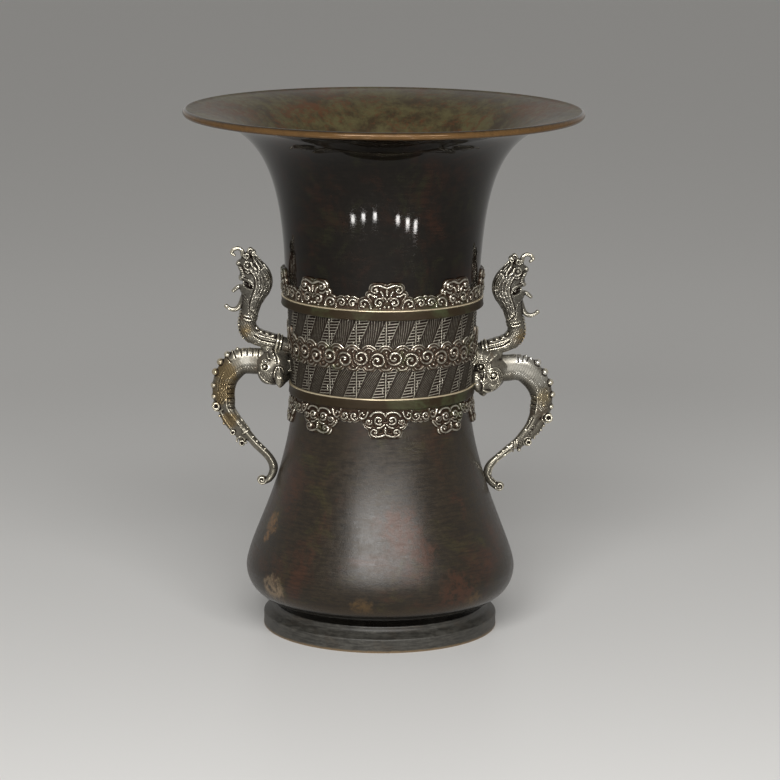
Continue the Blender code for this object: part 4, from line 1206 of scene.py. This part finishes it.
# Bodies of the lower beasts, each after its own casting: rows of (x, z, radius), and lines of (x, z)
RIGHT_BODY = {
    "trunk": (
        (68.0, 178.0, 6.4), (79.0, 177.6, 6.0), (86.9, 177.6, 5.6), (92.0, 178.1, 5.4),
        (97.0, 177.2, 5.5), (102.2, 173.4, 5.8), (106.4, 168.4, 5.6), (109.0, 162.4, 5.2),
        (109.6, 156.6, 5.1), (108.2, 150.6, 4.7), (105.2, 145.2, 3.5), (102.5, 139.8, 2.9),
        (97.4, 132.9, 2.6), (92.9, 127.6, 2.6), (88.7, 124.0, 2.7), (82.4, 118.8, 2.5),
        (76.8, 113.6, 2.7), (74.6, 109.8, 2.9), (74.0, 106.3, 3.0), (74.5, 103.3, 2.7), (76.9, 99.8, 2.5),
        (80.4, 96.8, 2.3),
    ),
    "fin": (
        (74.0, 184.0, 4.6), (80.0, 184.4, 5.0), (86.9, 184.6, 5.0), (93.0, 185.0, 4.9),
        (98.6, 184.0, 4.7), (103.6, 179.8, 4.5), (107.8, 174.6, 4.3), (110.6, 168.4, 4.1),
        (112.0, 162.0, 3.9), (112.4, 156.0, 3.5), (111.6, 150.4, 2.8),
    ),
    "panel": (
        (111.0, 147.0, 3.8), (108.0, 140.6, 3.8), (104.8, 135.6, 3.6), (100.4, 131.0, 3.2),
        (95.6, 126.0, 2.4),
    ),
    "web": (
        (107.6, 147.4, 3.2), (104.6, 141.2, 3.0), (101.0, 135.0, 2.8), (97.0, 130.2, 2.6),
        (93.8, 126.6, 2.2),
    ),
    "knobs": (
        (107.5, 184.7, 2.4), (112.5, 177.9, 2.4), (116.4, 170.6, 2.3), (118.0, 162.1, 2.1),
        (117.2, 153.6, 2.0),
    ),
    "nubs": (
        (91.2, 189.7, 0.9), (96.0, 189.8, 0.8), (99.6, 189.2, 1.3), (102.8, 187.5, 1.4),
        (112.6, 140.0, 1.1), (110.8, 137.0, 1.0), (108.5, 134.4, 1.0), (106.2, 131.2, 0.9),
        (95.6, 123.0, 1.5), (91.4, 122.0, 0.9),
    ),
    "rings": (((115.6, 146.1), 2.0, 1.0), ((102.0, 128.6), 1.6, 0.75)),
    "wraps": (((115.0, 146.0), 3.9, 120.0, 330.0), ((101.6, 129.0), 3.0, 60.0, 280.0)),
    "curls": ((105.0, 139.8), (103.2, 136.0), (101.2, 133.0), (98.6, 130.6), (96.4, 128.2)),
    "plates": (((103.0, 162.4), (106.6, 161.6)), ((102.6, 152.8), (106.0, 152.0)), 4),
    "fur": (
        ((104.4, 172.4), (107.6, 165.6), (108.2, 159.0), (107.8, 153.0)),
        ((110.2, 177.6), (114.4, 168.6), (115.4, 160.6), (113.4, 155.0)), 8,
    ),
    "hatch": (((108.4, 153.8), (110.4, 151.2)), ((112.6, 156.2), (114.6, 153.6)), 5),
    "grooves": (
        ((93.6, 190.4), (93.9, 185.6)), ((97.6, 190.4), (97.0, 186.0)), ((101.4, 189.2), (100.0, 186.2)),
        ((105.0, 146.0), (102.9, 142.0), (100.4, 138.0)), ((92.4, 126.2), (88.0, 122.4), (84.6, 119.4)),
    ),
    "lines": (
        ((107.0, 164.4), (107.4, 157.0), (106.4, 149.6)), ((112.4, 141.0), (109.8, 136.4), (106.4, 132.8)),
        ((91.0, 123.0), (86.8, 120.0), (81.0, 115.4), (77.2, 110.6), (75.9, 106.0)),
        ((74.4, 104.8), (76.4, 101.6), (79.4, 99.0)), ((76.0, 104.6), (77.6, 102.4), (80.0, 100.2)),
        ((93.6, 130.2), (94.0, 127.4), (93.0, 123.8)), ((92.2, 129.2), (92.6, 126.6), (91.8, 123.4)),
    ),
    "dashes": ((90.6, 128.4), (87.4, 125.6), (84.2, 122.4), (81.0, 119.6)),
    "scroll": ((82.4, 97.2), 3.3),
}
LEFT_BODY = {
    "trunk": (
        (68.0, 182.4, 6.4), (79.0, 182.4, 6.0), (86.9, 182.5, 5.6), (92.0, 182.8, 5.6),
        (97.0, 182.0, 5.7), (101.8, 177.9, 5.8), (105.6, 172.8, 5.4), (107.6, 166.6, 5.1),
        (107.6, 160.6, 4.9), (106.4, 155.0, 4.4), (103.4, 150.0, 3.7), (99.8, 144.8, 3.2),
        (95.8, 139.4, 2.9), (91.6, 133.6, 3.0), (86.6, 127.4, 3.0), (80.6, 121.6, 2.9),
        (76.4, 116.4, 2.9), (74.4, 111.2, 3.1), (75.0, 106.6, 2.8), (77.6, 102.6, 2.5),
        (80.6, 101.0, 2.3),
    ),
    "fin": (
        (74.0, 188.4, 4.6), (80.0, 188.9, 4.9), (86.9, 189.2, 5.0), (93.0, 189.4, 4.9),
        (98.6, 188.6, 4.8), (102.8, 184.8, 4.5), (106.4, 179.6, 4.2), (108.8, 173.6, 3.9),
        (110.0, 167.0, 3.6), (110.0, 161.0, 3.3), (109.0, 156.0, 2.8),
    ),
    "panel": (
        (109.0, 152.0, 3.6), (106.4, 145.6, 3.8), (102.8, 140.4, 3.6), (98.8, 135.4, 3.2),
        (95.6, 130.8, 2.6),
    ),
    "web": (
        (106.8, 153.6, 3.6), (103.8, 147.8, 3.4), (100.4, 142.4, 3.2), (96.8, 137.0, 2.9),
        (93.8, 132.4, 2.4),
    ),
    "knobs": (
        (106.2, 190.2, 2.2), (111.0, 185.1, 2.3), (114.4, 178.0, 2.3), (115.4, 168.7, 2.1),
        (115.2, 161.0, 2.0),
    ),
    "nubs": (
        (83.0, 193.4, 0.9), (86.6, 193.6, 1.0), (90.6, 194.2, 1.0), (94.6, 194.0, 1.0),
        (99.4, 194.2, 1.3), (102.6, 192.4, 1.1), (111.6, 147.2, 1.1), (108.6, 141.8, 1.1),
        (105.2, 138.6, 1.0), (99.2, 131.6, 0.9), (93.4, 128.2, 0.9),
    ),
    "rings": (((114.0, 154.4), 1.9, 1.0), ((102.6, 135.9), 1.3, 0.7), ((96.2, 128.4), 1.5, 0.7)),
    "wraps": (((112.8, 154.2), 3.7, -150.0, 60.0), ((97.0, 129.8), 2.8, -20.0, 170.0)),
    "curls": ((103.6, 148.6), (101.4, 145.6), (99.0, 142.8), (96.8, 140.0), (94.6, 137.4)),
    "plates": (((101.8, 169.6), (106.0, 170.4)), ((101.2, 152.8), (105.8, 153.6)), 6),
    "fur": (
        ((103.6, 177.0), (106.6, 169.6), (107.0, 163.0), (106.6, 158.0)),
        ((108.4, 183.0), (112.4, 173.0), (112.8, 165.0), (111.4, 159.6)), 5,
    ),
    "hatch": (((107.4, 160.0), (109.6, 156.6)), ((111.0, 161.0), (112.8, 157.6)), 3),
    "grooves": (
        ((84.6, 194.0), (85.2, 189.4)), ((88.6, 194.8), (88.8, 190.0)), ((92.4, 195.2), (92.6, 190.4)),
        ((97.0, 195.0), (96.4, 190.0)), ((102.2, 193.0), (100.6, 188.6)), ((106.0, 188.0), (103.8, 185.6)),
    ),
    "lines": (
        ((107.0, 160.4), (106.6, 154.6), (105.0, 150.8), (99.8, 143.8), (94.6, 137.0)),
        ((101.2, 151.8), (98.2, 147.2), (94.6, 142.2), (90.9, 137.4)),
        ((95.6, 135.2), (93.4, 136.4), (91.0, 137.6)),
        ((93.6, 136.2), (87.2, 129.0), (82.4, 124.2), (77.8, 119.6), (75.2, 115.4), (74.0, 111.4)),
        ((110.6, 150.0), (107.4, 143.8), (103.6, 138.6)),
    ),
    "dashes": ((88.6, 132.6), (85.8, 129.6), (83.0, 126.8), (80.2, 124.0)),
    "scroll": ((82.4, 102.0), 3.4),
}
BODY_STEP = 0.37
BODY_HALF_DEPTH = 9.0
FLANK_ROWS = 10
FLANK_FLAT = 1.75
FIN_FLAT = 1.45
TRUNK_FLAT = 0.95
PANEL_FLAT = 1.5
WEB_FLAT = 1.1
KNOB_WIDE = 1.1
KNOB_DEEP = 1.6
RING_MARGIN = 0.4
RING_BACK = 2.8
RING_DEPTH = 2.9
RING_PIT = 3.4


def body_clay(form):
    """A lower beast's arched body: a trunk under a toothed fin, a fringe with curls, and a curled tail."""
    clay = Clay((60.0, -BODY_HALF_DEPTH, 90.0), (123.0, BODY_HALF_DEPTH, 198.0), BODY_STEP)
    flank = []
    for trunk, fin in list(zip(form["trunk"], form["fin"]))[1:FLANK_ROWS]:
        half = (math.hypot(fin[0] - trunk[0], fin[1] - trunk[1]) + trunk[2] + fin[2]) / 2
        flank.append(((trunk[0] + fin[0]) / 2, (trunk[1] + fin[1]) / 2, half))
    clay.spine(flank, 0.5, flat=FLANK_FLAT)
    clay.spine(form["fin"], 1.5, flat=FIN_FLAT)
    clay.spine(form["trunk"], 2.4, flat=TRUNK_FLAT)
    clay.spine(form["panel"], 1.2, flat=PANEL_FLAT)
    clay.spine(form["web"], 1.2, flat=WEB_FLAT)
    scroll, size = form["scroll"]
    clay.ball((scroll[0], 0.0, scroll[1]), (size, 2.4, size), 0.0, 0.6)
    clay.settle()
    for x, z, r in form["knobs"]:
        clay.ball((x, 0.0, z), (KNOB_WIDE * r, KNOB_DEEP * r, KNOB_WIDE * r), 0.0, 0.7)
    for x, z, r in form["nubs"]:
        clay.ball((x, 0.0, z), (r, KNOB_DEEP * r, r), 0.0, 0.3)
    whole_turn = np.radians(np.linspace(0.0, 360.0, RING_POINTS))
    for centre, radius, thickness in form["rings"]:
        clay.ball((centre[0], 0.0, centre[1]), (radius + RING_MARGIN, RING_BACK, radius + RING_MARGIN))
        for side in BOTH_SIDES:
            hoop(clay, centre, side * RING_DEPTH, radius, whole_turn, thickness)
            clay.ball((centre[0], side * RING_PIT, centre[1]), radius - 0.6 * thickness, 0.0, 0.2, True)
    for centre, radius, first, last in form["wraps"]:
        clay.ring(centre, radius, 0.55, start=first, end=last)
    for place in form["curls"]:
        clay.ring(place, 0.95, 0.42, start=200.0, end=500.0)
    drawn(clay, spread(*form["plates"]), 0.36, True)
    combed(clay, spread(*form["fur"]), 0.42)
    drawn(clay, spread(*form["hatch"]), 0.5)
    drawn(clay, form["grooves"], 0.38, True)
    drawn(clay, form["lines"], 0.6)
    for place in form["dashes"]:
        clay.bead(place, 0.7)
    curl(clay, scroll, 2.0, size - 0.5, 0.75, 200.0, 1.3)
    clay.scales((84.0, -BODY_HALF_DEPTH, 150.0), (116.0, BODY_HALF_DEPTH, 190.0), 1.9, 0.07)
    return clay


# The ear's two rolls: a radius, then (x, y, z) places
EAR_ROLLS = (
    (1.0, (58.9, -19.4, 198.2), (62.0, -16.6, 197.6), (64.6, -12.8, 194.4), (65.2, -11.8, 189.4),
     (62.4, -15.2, 186.2)),
    (0.7, (59.4, -18.8, 195.2), (61.6, -16.6, 194.6), (63.2, -14.0, 192.2), (63.2, -14.0, 189.6),
     (61.4, -16.4, 188.0)),
)


def head_clay():
    """The lower beast's head, turned aside as it bites the wall, with an eye and a leaf on its far side."""
    clay = Clay((56.0, -22.0, 158.0), (92.0, 18.0, 202.0))
    clay.ball((73.0, -1.0, 178.8), (10.6, 10.2, 11.4))
    clay.ball((74.4, -2.0, 173.6), (8.4, 8.8, 9.2), 0.0, 1.5)
    clay.ball((78.0, 3.5, 175.4), (7.8, 7.2, 9.4), 0.0, 1.5)
    clay.tube([(70.0, -6.0, 172.0, 6.0), (69.6, -6.0, 166.8, 4.0), (70.1, -5.0, 162.8, 1.2)], 1.5)
    clay.tube([(64.6, -8.6, 177.0, 3.0), (65.0, -9.2, 171.6, 3.6), (66.2, -7.6, 167.4, 2.4)], 1.0)
    clay.tube([(65.0, -4.0, 190.0, 6.4), (72.0, -3.0, 188.0, 6.6), (78.0, -1.0, 190.6, 5.4)], 2.0)
    nape = ((74.0, 179.8, 9.0), (80.0, 180.4, 8.2), (85.0, 180.6, 5.6), (88.0, 180.6, 3.4))
    clay.spine(nape, 2.5, flat=1.12)
    clay.settle()

    near = (NEAR_SIDE,)
    eye, other_eye = (67.7, 183.2), (76.2, 177.5)
    for place, socket in ((eye, 2.3), (other_eye, 2.9)):
        clay.pit(place, socket, near)
        clay.bead(place, 0.62 * socket, near, -0.7)
    for radius in (2.9, 4.1, 5.3, 6.5):
        clay.ring(eye, radius, 0.5, near, -22.0, 150.0)
    inner = (
        (73.9, 179.2), (75.4, 180.2), (78.0, 180.0), (79.6, 177.4), (79.8, 174.2), (78.4, 171.2),
        (76.2, 168.8),
    )
    outer = (
        (72.7, 180.2), (75.2, 182.2), (79.2, 182.0), (82.2, 178.0), (82.2, 173.6), (80.4, 170.0),
        (77.8, 166.8),
    )
    for rim in spread(inner, outer, 3):
        clay.stroke(thick(rim, 0.55), near, lift=0.1)
    for bar in spread(((72.0, 179.2), (72.4, 175.2)), ((73.8, 178.6), (74.0, 175.6)), 3):
        clay.stroke(thick(bar, 0.4), near)
    clay.ball((74.0, -9.4, 170.8), (4.6, 1.8, 3.4), 0.0, 0.6)
    lip = ((69.4, 167.2, 0.8), (72.4, 165.8, 1.0), (75.6, 166.4, 0.9), (78.0, 168.4, 0.5))
    clay.stroke(lip, near, blend=0.6)
    for notch in spread(((79.4, 172.0), (81.0, 171.0)), ((75.6, 167.6), (76.6, 166.2)), 6):
        clay.stroke(thick(notch, 0.35), near, True)
    clay.ring((67.8, 177.5), 1.1, 0.45, near)
    clay.stroke([(69.8, 181.4, 0.4), (70.4, 177.6, 0.5), (69.4, 173.6, 0.5)], near)
    edge = ((61.6, 177.2), (65.4, 176.4), (67.8, 174.2), (69.6, 170.4), (69.0, 166.2))
    clay.stroke(thick(edge, 0.6), near)
    folds = (
        ((68.0, 189.6), (68.4, 191.6), (68.6, 194.4)), ((71.2, 189.0), (73.0, 190.8), (74.4, 193.2)),
        ((73.8, 187.0), (76.4, 189.2), (78.6, 191.4)),
    )
    for fold in folds:
        clay.stroke(thick(fold, 0.45), near)
    for radius, *ear in EAR_ROLLS:
        clay.tube([(*place, radius) for place in ear])

    far = (FAR_SIDE,)
    far_eye = (80.7, 179.2)
    clay.pit(far_eye, 2.2, far)
    clay.bead(far_eye, 1.35, far, -0.7)
    for place in through([(83.4, 180.0), (81.9, 182.0), (80.2, 182.9), (78.5, 181.6)], 2):
        clay.bead(place, 0.62, far)
    clay.stroke([(84.4, 180.0, 0.4), (82.4, 183.0, 0.5), (80.2, 184.0, 0.5), (77.6, 182.4, 0.4)], far)
    clay.stroke([(78.8, 187.4, 0.6), (78.2, 185.0, 0.7), (76.2, 184.2, 0.6)], far)
    for place in through([(84.4, 175.3), (83.0, 172.2), (80.8, 169.8), (78.3, 168.1), (75.5, 167.0)], 3):
        clay.bead(place, 0.72, far, 0.2)
    clay.stroke(thick(((83.6, 176.2), (81.8, 173.0), (79.6, 171.0), (76.4, 169.2)), 0.35), far)
    clay.ball((71.0, 8.4, 172.4), (3.2, 2.6, 6.8), -8.0, 0.3)
    leaf = (
        (72.5, 178.8), (69.5, 179.0), (67.9, 175.6), (68.4, 170.4), (70.6, 166.2), (73.2, 169.4),
        (74.1, 174.2), (72.5, 178.8),
    )
    clay.stroke(thick(leaf, 0.6), far, lift=0.6)
    vein = ((70.8, 178.4, 0.5), (70.6, 174.4, 0.6), (71.0, 170.9, 0.5), (71.0, 167.0, 0.4))
    clay.stroke(vein, far, lift=1.6)
    clay.stroke([(75.0, 190.6, 0.6), (74.2, 188.4, 0.6), (72.6, 185.2, 0.6), (72.0, 181.4, 0.5)], far, True)
    for place in ((74.9, 187.6), (74.0, 185.6), (73.4, 183.4)):
        clay.bead(place, 0.6, far)
    clay.scales((73.5, 0.0, 167.5), (84.5, 18.0, 178.5), 1.4, 0.18, far)
    clay.clear_wall()
    return clay


NECK_PATH = (
    (60.0, 192.0, 5.2), (66.0, 192.8, 5.2), (72.0, 194.6, 5.4), (78.6, 196.4, 5.7), (84.4, 198.0, 5.9),
    (89.2, 200.6, 6.1), (92.0, 205.0, 6.1), (92.2, 210.4, 5.9), (91.2, 215.4, 5.7), (90.6, 220.0, 5.7),
)
# Cuffs: x and z of the middle, lean, half depth, half height and radius
CUFFS = ((72.2, 194.4, 1.4, 5.5, 5.8, 1.1), (69.8, 193.8, 1.2, 5.3, 5.6, 0.8))
CUFF_POINTS = 17


def neck_clay():
    """The upper dragon's neck, plated on top and rolled into a cuff at the wall."""
    clay = Clay((58.0, -14.0, 184.0), (104.0, 14.0, 228.0))
    clay.spine(NECK_PATH, 0.6, flat=1.05)
    clay.settle()
    for x, z, lean in ((75.0, 199.8, 14.0), (79.0, 201.2, 12.0), (83.0, 202.6, 20.0), (86.0, 204.8, 48.0)):
        clay.ball((x, 0.0, z), (2.9, 4.4, 1.5), lean, 0.3)
    turns = np.radians(np.linspace(0.0, 360.0, CUFF_POINTS))
    for x, z, lean, deep, tall, radius in CUFFS:
        clay.tube([(x - lean * math.sin(t), deep * math.cos(t), z + tall * math.sin(t), radius)
                   for t in turns])
    drawn(clay, [((70.0, 194.4), (77.0, 195.8), (83.0, 197.4), (87.4, 200.4))], 0.6, True)
    plated = (
        ((73.0, 197.2), (79.0, 198.8), (84.6, 200.6)), ((74.0, 199.0), (80.0, 200.4), (85.0, 202.6)), 2,
    )
    throat = (
        ((73.0, 193.0), (80.0, 194.0), (87.0, 196.4)), ((74.0, 190.8), (81.0, 191.6), (87.4, 193.6)), 3,
    )
    drawn(clay, spread(*plated), 0.5)
    drawn(clay, spread(*throat), 0.4)
    drawn(clay, [((85.8, 213.0), (88.4, 211.0), (91.4, 210.8), (94.4, 211.8))], 0.8)
    drawn(clay, [((85.6, 215.4), (88.4, 213.4), (91.4, 213.2), (94.4, 214.2))], 0.6)
    serration = through([(91.6, 195.4), (95.8, 199.0), (98.0, 204.6), (98.0, 210.4), (96.8, 216.0)], 5)
    for x, z in serration[::2]:
        clay.ball((x, 0.0, z), (1.2, 2.4, 1.2))
    clay.scales((86.0, -14.0, 194.0), (101.0, 14.0, 218.0), 1.7, 0.2)
    clay.spine([(83.0, 223.0, 0.9), (84.6, 220.4, 1.5), (85.6, 216.4, 1.2), (86.7, 213.0, 0.7)])
    clay.clear_wall()
    return clay


MANE_BACK = (
    (86.6, 255.1), (81.4, 249.2), (76.8, 241.7), (76.4, 233.9), (79.2, 228.7), (82.8, 222.6), (85.8, 214.4),
)
MANE_FRONT = (
    (90.6, 246.2), (88.2, 243.0), (86.6, 239.2), (86.4, 235.0), (87.6, 230.6), (89.4, 225.0), (90.4, 219.0),
)
MANE_STRANDS = 10
MANE_LIFTS = (0.2, 0.45)
WHISKER = (
    (93.2, 230.0, 2.6), (95.2, 225.4, 2.3), (96.8, 221.6, 2.0), (99.0, 218.6, 1.8), (102.1, 217.5, 1.6),
    (105.0, 218.5, 1.4), (106.8, 219.9, 1.6),
)
HORN = (
    (93.4, 252.4, 1.9), (95.4, 255.0, 1.7), (96.1, 258.2, 1.5), (98.8, 260.0, 1.4), (102.0, 259.0, 1.4),
    (103.1, 256.9, 1.3), (101.4, 255.2, 1.1),
)


def dragon_clay():
    """The upper dragon's head, with its mane, horn, open mouth and whisker."""
    clay = Clay((72.0, -11.0, 208.0), (110.0, 11.0, 264.0))
    clay.ball((91.0, 0.0, 248.8), (7.4, 6.2, 6.2), 0.0, 1.0)
    clay.ball((86.6, 0.0, 241.0), (10.2, 7.0, 10.2), 20.0, 2.5)
    clay.ball((86.4, 0.0, 232.8), (10.0, 7.2, 9.2), 0.0, 2.5)
    clay.spine([(88.4, 227.0, 7.4), (90.2, 220.6, 6.2), (91.0, 212.4, 5.7)], 2.0, flat=1.08)
    clay.spine([(93.4, 232.0, 4.4), (95.4, 233.6, 2.6)], 1.5, flat=0.9)
    clay.spine([(92.6, 245.0, 4.6), (94.0, 241.0, 3.8)], 1.5, flat=0.85)
    clay.settle()

    for index, strand in enumerate(spread(MANE_BACK, MANE_FRONT, MANE_STRANDS)):
        clay.stroke(thick(strand, 0.62), lift=MANE_LIFTS[index % 2], blend=0.08)
    clay.spine(thick(MANE_BACK[1:-1], 1.0), flat=0.7)
    drawn(clay, spread(((88.2, 230.0), (91.0, 221.0), (92.6, 225.6), (95.4, 229.0)),
                       ((88.6, 225.4), (91.0, 215.4), (92.4, 220.6), (94.6, 224.0)), 3), 0.45)

    for side in BOTH_SIDES:
        clay.ball((92.9, side * 6.4, 235.6), (4.7, 4.2, 1.9), 30.0, 0.4, True)
    clay.spine([(94.4, 235.8, 0.7), (97.0, 236.8, 1.6), (100.6, 237.4, 2.4)], 0.3, True, 0.25)
    drawn(clay, [((88.4, 234.0), (89.4, 237.0), (92.4, 239.0), (96.0, 239.8))], 0.5, lift=0.1)
    for side in BOTH_SIDES:
        clay.tube([(91.2, side * 4.6, 237.8, 0.8), (90.9, side * 4.6, 234.4, 0.4)])
        clay.tube([(95.0, side * 3.4, 237.8, 0.7), (94.8, side * 3.4, 235.4, 0.4)])
    clay.spine([(94.6, 233.0, 1.9), (98.0, 233.4, 1.6), (100.2, 232.2, 1.5), (102.1, 230.5, 1.3)])
    clay.spine(WHISKER)
    clay.spine(HORN)

    clay.spine([(95.0, 250.4, 3.4), (98.0, 249.6, 2.4)], 0.8, flat=0.75)
    proboscis = ((97.2, 247.2), (95.8, 244.4), (95.2, 241.6), (96.8, 239.8))
    for side in BOTH_SIDES:
        clay.tube([(x, side * 3.2, z, 1.7) for x, z in proboscis], 0.4)
        for x, z in through(proboscis, 2)[:-1]:
            clay.ball((x, side * 4.4, z), (1.5, 1.0, 0.6), 20.0, 0.15)
        clay.ball((98.4, side * 2.6, 250.2), 1.5)
    eye = (92.4, 249.0)
    clay.pit(eye, 1.7)
    clay.bead(eye, 1.4, lift=-0.2)
    clay.ring(eye, 2.5, 0.55)
    lids = ((89.2, 247.0), (91.8, 245.8), (94.4, 247.4)), ((89.8, 245.0), (92.0, 244.0), (93.8, 244.8))
    drawn(clay, lids, 0.55, lift=0.3)
    drawn(clay, [((88.4, 254.2), (86.8, 251.0), (85.0, 248.4), (84.4, 246.6))], 0.95, lift=0.7)
    drawn(clay, [((90.0, 251.0), (88.6, 248.2), (86.4, 246.2))], 0.95, lift=0.7)
    curl(clay, (90.2, 258.4), 2.4, 2.4, 0.7, 180.0, 1.3)
    curl(clay, (93.0, 255.4), 4.0, 2.2, 0.65, 20.0, -1.2)
    curl(clay, (88.4, 256.6), 3.6, 1.6, 0.6, 90.0, 1.2)
    clay.ball((90.0, 0.0, 257.6), (3.0, 2.8, 2.6), 0.0, 0.5)
    clay.ball((92.4, 0.0, 255.0), (2.6, 4.0, 2.2), 0.0, 0.8)
    return clay


def tenon_clay():
    """The square tenon that a pin locks inside the collar."""
    clay = Clay((51.0, -6.0, 177.0), (70.0, 6.0, 189.0))
    clay.block((53.0, -4.5, 179.05), (68.0, 4.5, 187.05))
    return clay


def peg_clay():
    """The round peg of the dragon's neck through the collar."""
    clay = Clay((55.0, -5.0, 188.0), (70.0, 5.0, 199.0))
    clay.spine([(60.6, 193.45, 3.0), (66.0, 193.45, 3.0)])
    return clay


# Faces, throats and dragons are shared by both sides and sit higher on the left
SIDE_LIFTS = (("right", 0.0), ("left", 4.0))
cast(body_clay(RIGHT_BODY), "right", "beast", "beast_body")
cast(body_clay(LEFT_BODY), "left", "beast", "beast_body")
for side_name in ("right", "left"):
    cast(tenon_clay(), side_name, "tenon", "beast_head")
    cast(peg_clay(), side_name, "peg", "dragon_neck")
for make, piece_name, node_name in (
    (head_clay, "beast_face", "beast_head"),
    (neck_clay, "dragon_throat", "dragon_neck"),
    (dragon_clay, "dragon", "dragon_head"),
):
    lump = make()
    for side_name, side_lift in SIDE_LIFTS:
        cast(lump, side_name, piece_name, node_name, side_lift)

# Stage, light and camera
FLOOR_SIZE = 30.0
FLOOR_COLOUR = (0.70, 0.69, 0.67)
ROOM_COLOUR = (0.60, 0.59, 0.57)
ROOM_STRENGTH = 0.8
LIGHT_COLOUR = (1.0, 0.99, 0.97)
LIGHT_STRENGTH = 0.24
FLOOR_ROUGHNESS = 0.45
FLOOR_SPECULAR = 0.15
# Soft boxes: degrees from the front, height, power and size; windows: degrees from the front and height
BOX_DISTANCE = 1.75
BOX_AIM = (0.0, 0.0, 0.14)
SOFT_BOXES = (
    (-17.0, 1.04, 17.0, (0.7, 0.34)), (6.0, 1.04, 10.0, (0.6, 0.34)), (26.0, 1.04, 8.0, (0.5, 0.34)),
    (-6.0, 1.95, 9.0, (1.3, 0.6)),
)
WINDOWS = (
    (-34.8, 0.051), (-23.9, 0.039), (-11.6, 0.032), (13.5, 0.0475), (23.8, 0.066), (32.6, 0.077),
)
LOW_WINDOW_DISTANCE = 0.5
LOW_WINDOW_AIM = (0.0, 0.0, 0.291)
LOW_WINDOW_POWER = 0.012
LOW_WINDOW_SIZE = (0.030, 0.024)
LOW_WINDOW_SPREAD = math.radians(50.0)
CAMERA_DISTANCE = 2.2108
CAMERA_HEIGHT = 0.6164
CAMERA_PITCH = math.radians(11.535)
CAMERA_AZIMUTH = math.radians(-2.5)
CAMERA_YAW = math.radians(-0.150)
CAMERA_ROLL = math.radians(0.5)
CAMERA_LENS = 151.0
SENSOR = 36.0


def make_floor():
    mesh = bpy.data.meshes.new("floor")
    half = FLOOR_SIZE / 2
    corners = [(-half, -half, 0.0), (half, -half, 0.0), (half, half, 0.0), (-half, half, 0.0)]
    mesh.from_pydata(corners, [], [(0, 1, 2, 3)])
    kit = Finish("pale_floor")
    mesh.materials.append(kit.finish((*FLOOR_COLOUR, 1.0), FLOOR_ROUGHNESS, 0.0, FLOOR_SPECULAR))
    floor = bpy.data.objects.new("floor", mesh)
    bpy.context.scene.collection.objects.link(floor)


def make_world():
    """A pale room for the camera and for reflections, and a plain soft light for the rest."""
    world = bpy.data.worlds.new("studio")
    world.use_nodes = True
    bpy.context.scene.world = world
    tree = world.node_tree
    tree.nodes.clear()
    paths = tree.nodes.new("ShaderNodeLightPath")
    seen = paths.outputs["Is Camera Ray"]
    for ray in ("Is Glossy Ray", "Is Transmission Ray"):
        either = tree.nodes.new("ShaderNodeMath")
        either.operation = "MAXIMUM"
        tree.links.new(seen, either.inputs[0])
        tree.links.new(paths.outputs[ray], either.inputs[1])
        seen = either.outputs[0]
    light = tree.nodes.new("ShaderNodeBackground")
    light.inputs["Color"].default_value = (*LIGHT_COLOUR, 1.0)
    light.inputs["Strength"].default_value = LIGHT_STRENGTH
    pale = tree.nodes.new("ShaderNodeBackground")
    pale.inputs["Color"].default_value = (*ROOM_COLOUR, 1.0)
    pale.inputs["Strength"].default_value = ROOM_STRENGTH
    chosen = tree.nodes.new("ShaderNodeMixShader")
    tree.links.new(seen, chosen.inputs["Fac"])
    tree.links.new(light.outputs[0], chosen.inputs[1])
    tree.links.new(pale.outputs[0], chosen.inputs[2])
    output = tree.nodes.new("ShaderNodeOutputWorld")
    tree.links.new(chosen.outputs[0], output.inputs["Surface"])


def add_light(name, place, aim, power, size, spread=math.pi, seen=True):
    light = bpy.data.lights.new(name, "AREA")
    light.spread = spread
    light.energy = power
    light.shape = "RECTANGLE"
    light.size, light.size_y = size
    lamp = bpy.data.objects.new(name, light)
    lamp.location = place
    lamp.rotation_euler = (Vector(aim) - Vector(place)).to_track_quat("-Z", "Y").to_euler()
    lamp.visible_camera = seen
    bpy.context.scene.collection.objects.link(lamp)


def around(azimuth, distance, height):
    """A place on a circle about the vase, measured from the front."""
    turn = math.radians(azimuth)
    return distance * math.sin(turn), -distance * math.cos(turn), height


def make_lights():
    """Soft boxes in front that the belly mirrors, one above, and small low windows that the neck mirrors."""
    for index, (azimuth, height, power, size) in enumerate(SOFT_BOXES):
        add_light(f"box_{index}", around(azimuth, BOX_DISTANCE, height), BOX_AIM, power, size)
    for index, (azimuth, height) in enumerate(WINDOWS):
        place = around(azimuth, LOW_WINDOW_DISTANCE, height)
        add_light(f"window_{index}", place, LOW_WINDOW_AIM, LOW_WINDOW_POWER, LOW_WINDOW_SIZE,
                  LOW_WINDOW_SPREAD, False)


def make_camera():
    data = bpy.data.cameras.new("camera")
    data.lens = CAMERA_LENS
    data.sensor_width = SENSOR
    camera = bpy.data.objects.new("camera", data)
    circle = Matrix.Rotation(CAMERA_AZIMUTH, 4, "Z")
    place = Matrix.Translation((0.0, -CAMERA_DISTANCE, CAMERA_HEIGHT))
    turn = Matrix.Rotation(CAMERA_YAW, 4, "Z")
    tilt = Matrix.Rotation(math.pi / 2 - CAMERA_PITCH, 4, "X")
    roll = Matrix.Rotation(CAMERA_ROLL, 4, "Z")
    camera.matrix_world = circle @ place @ turn @ tilt @ roll
    bpy.context.scene.collection.objects.link(camera)
    bpy.context.scene.camera = camera


make_floor()
make_world()
make_lights()
make_camera()
bpy.context.scene.view_settings.view_transform = "Standard"
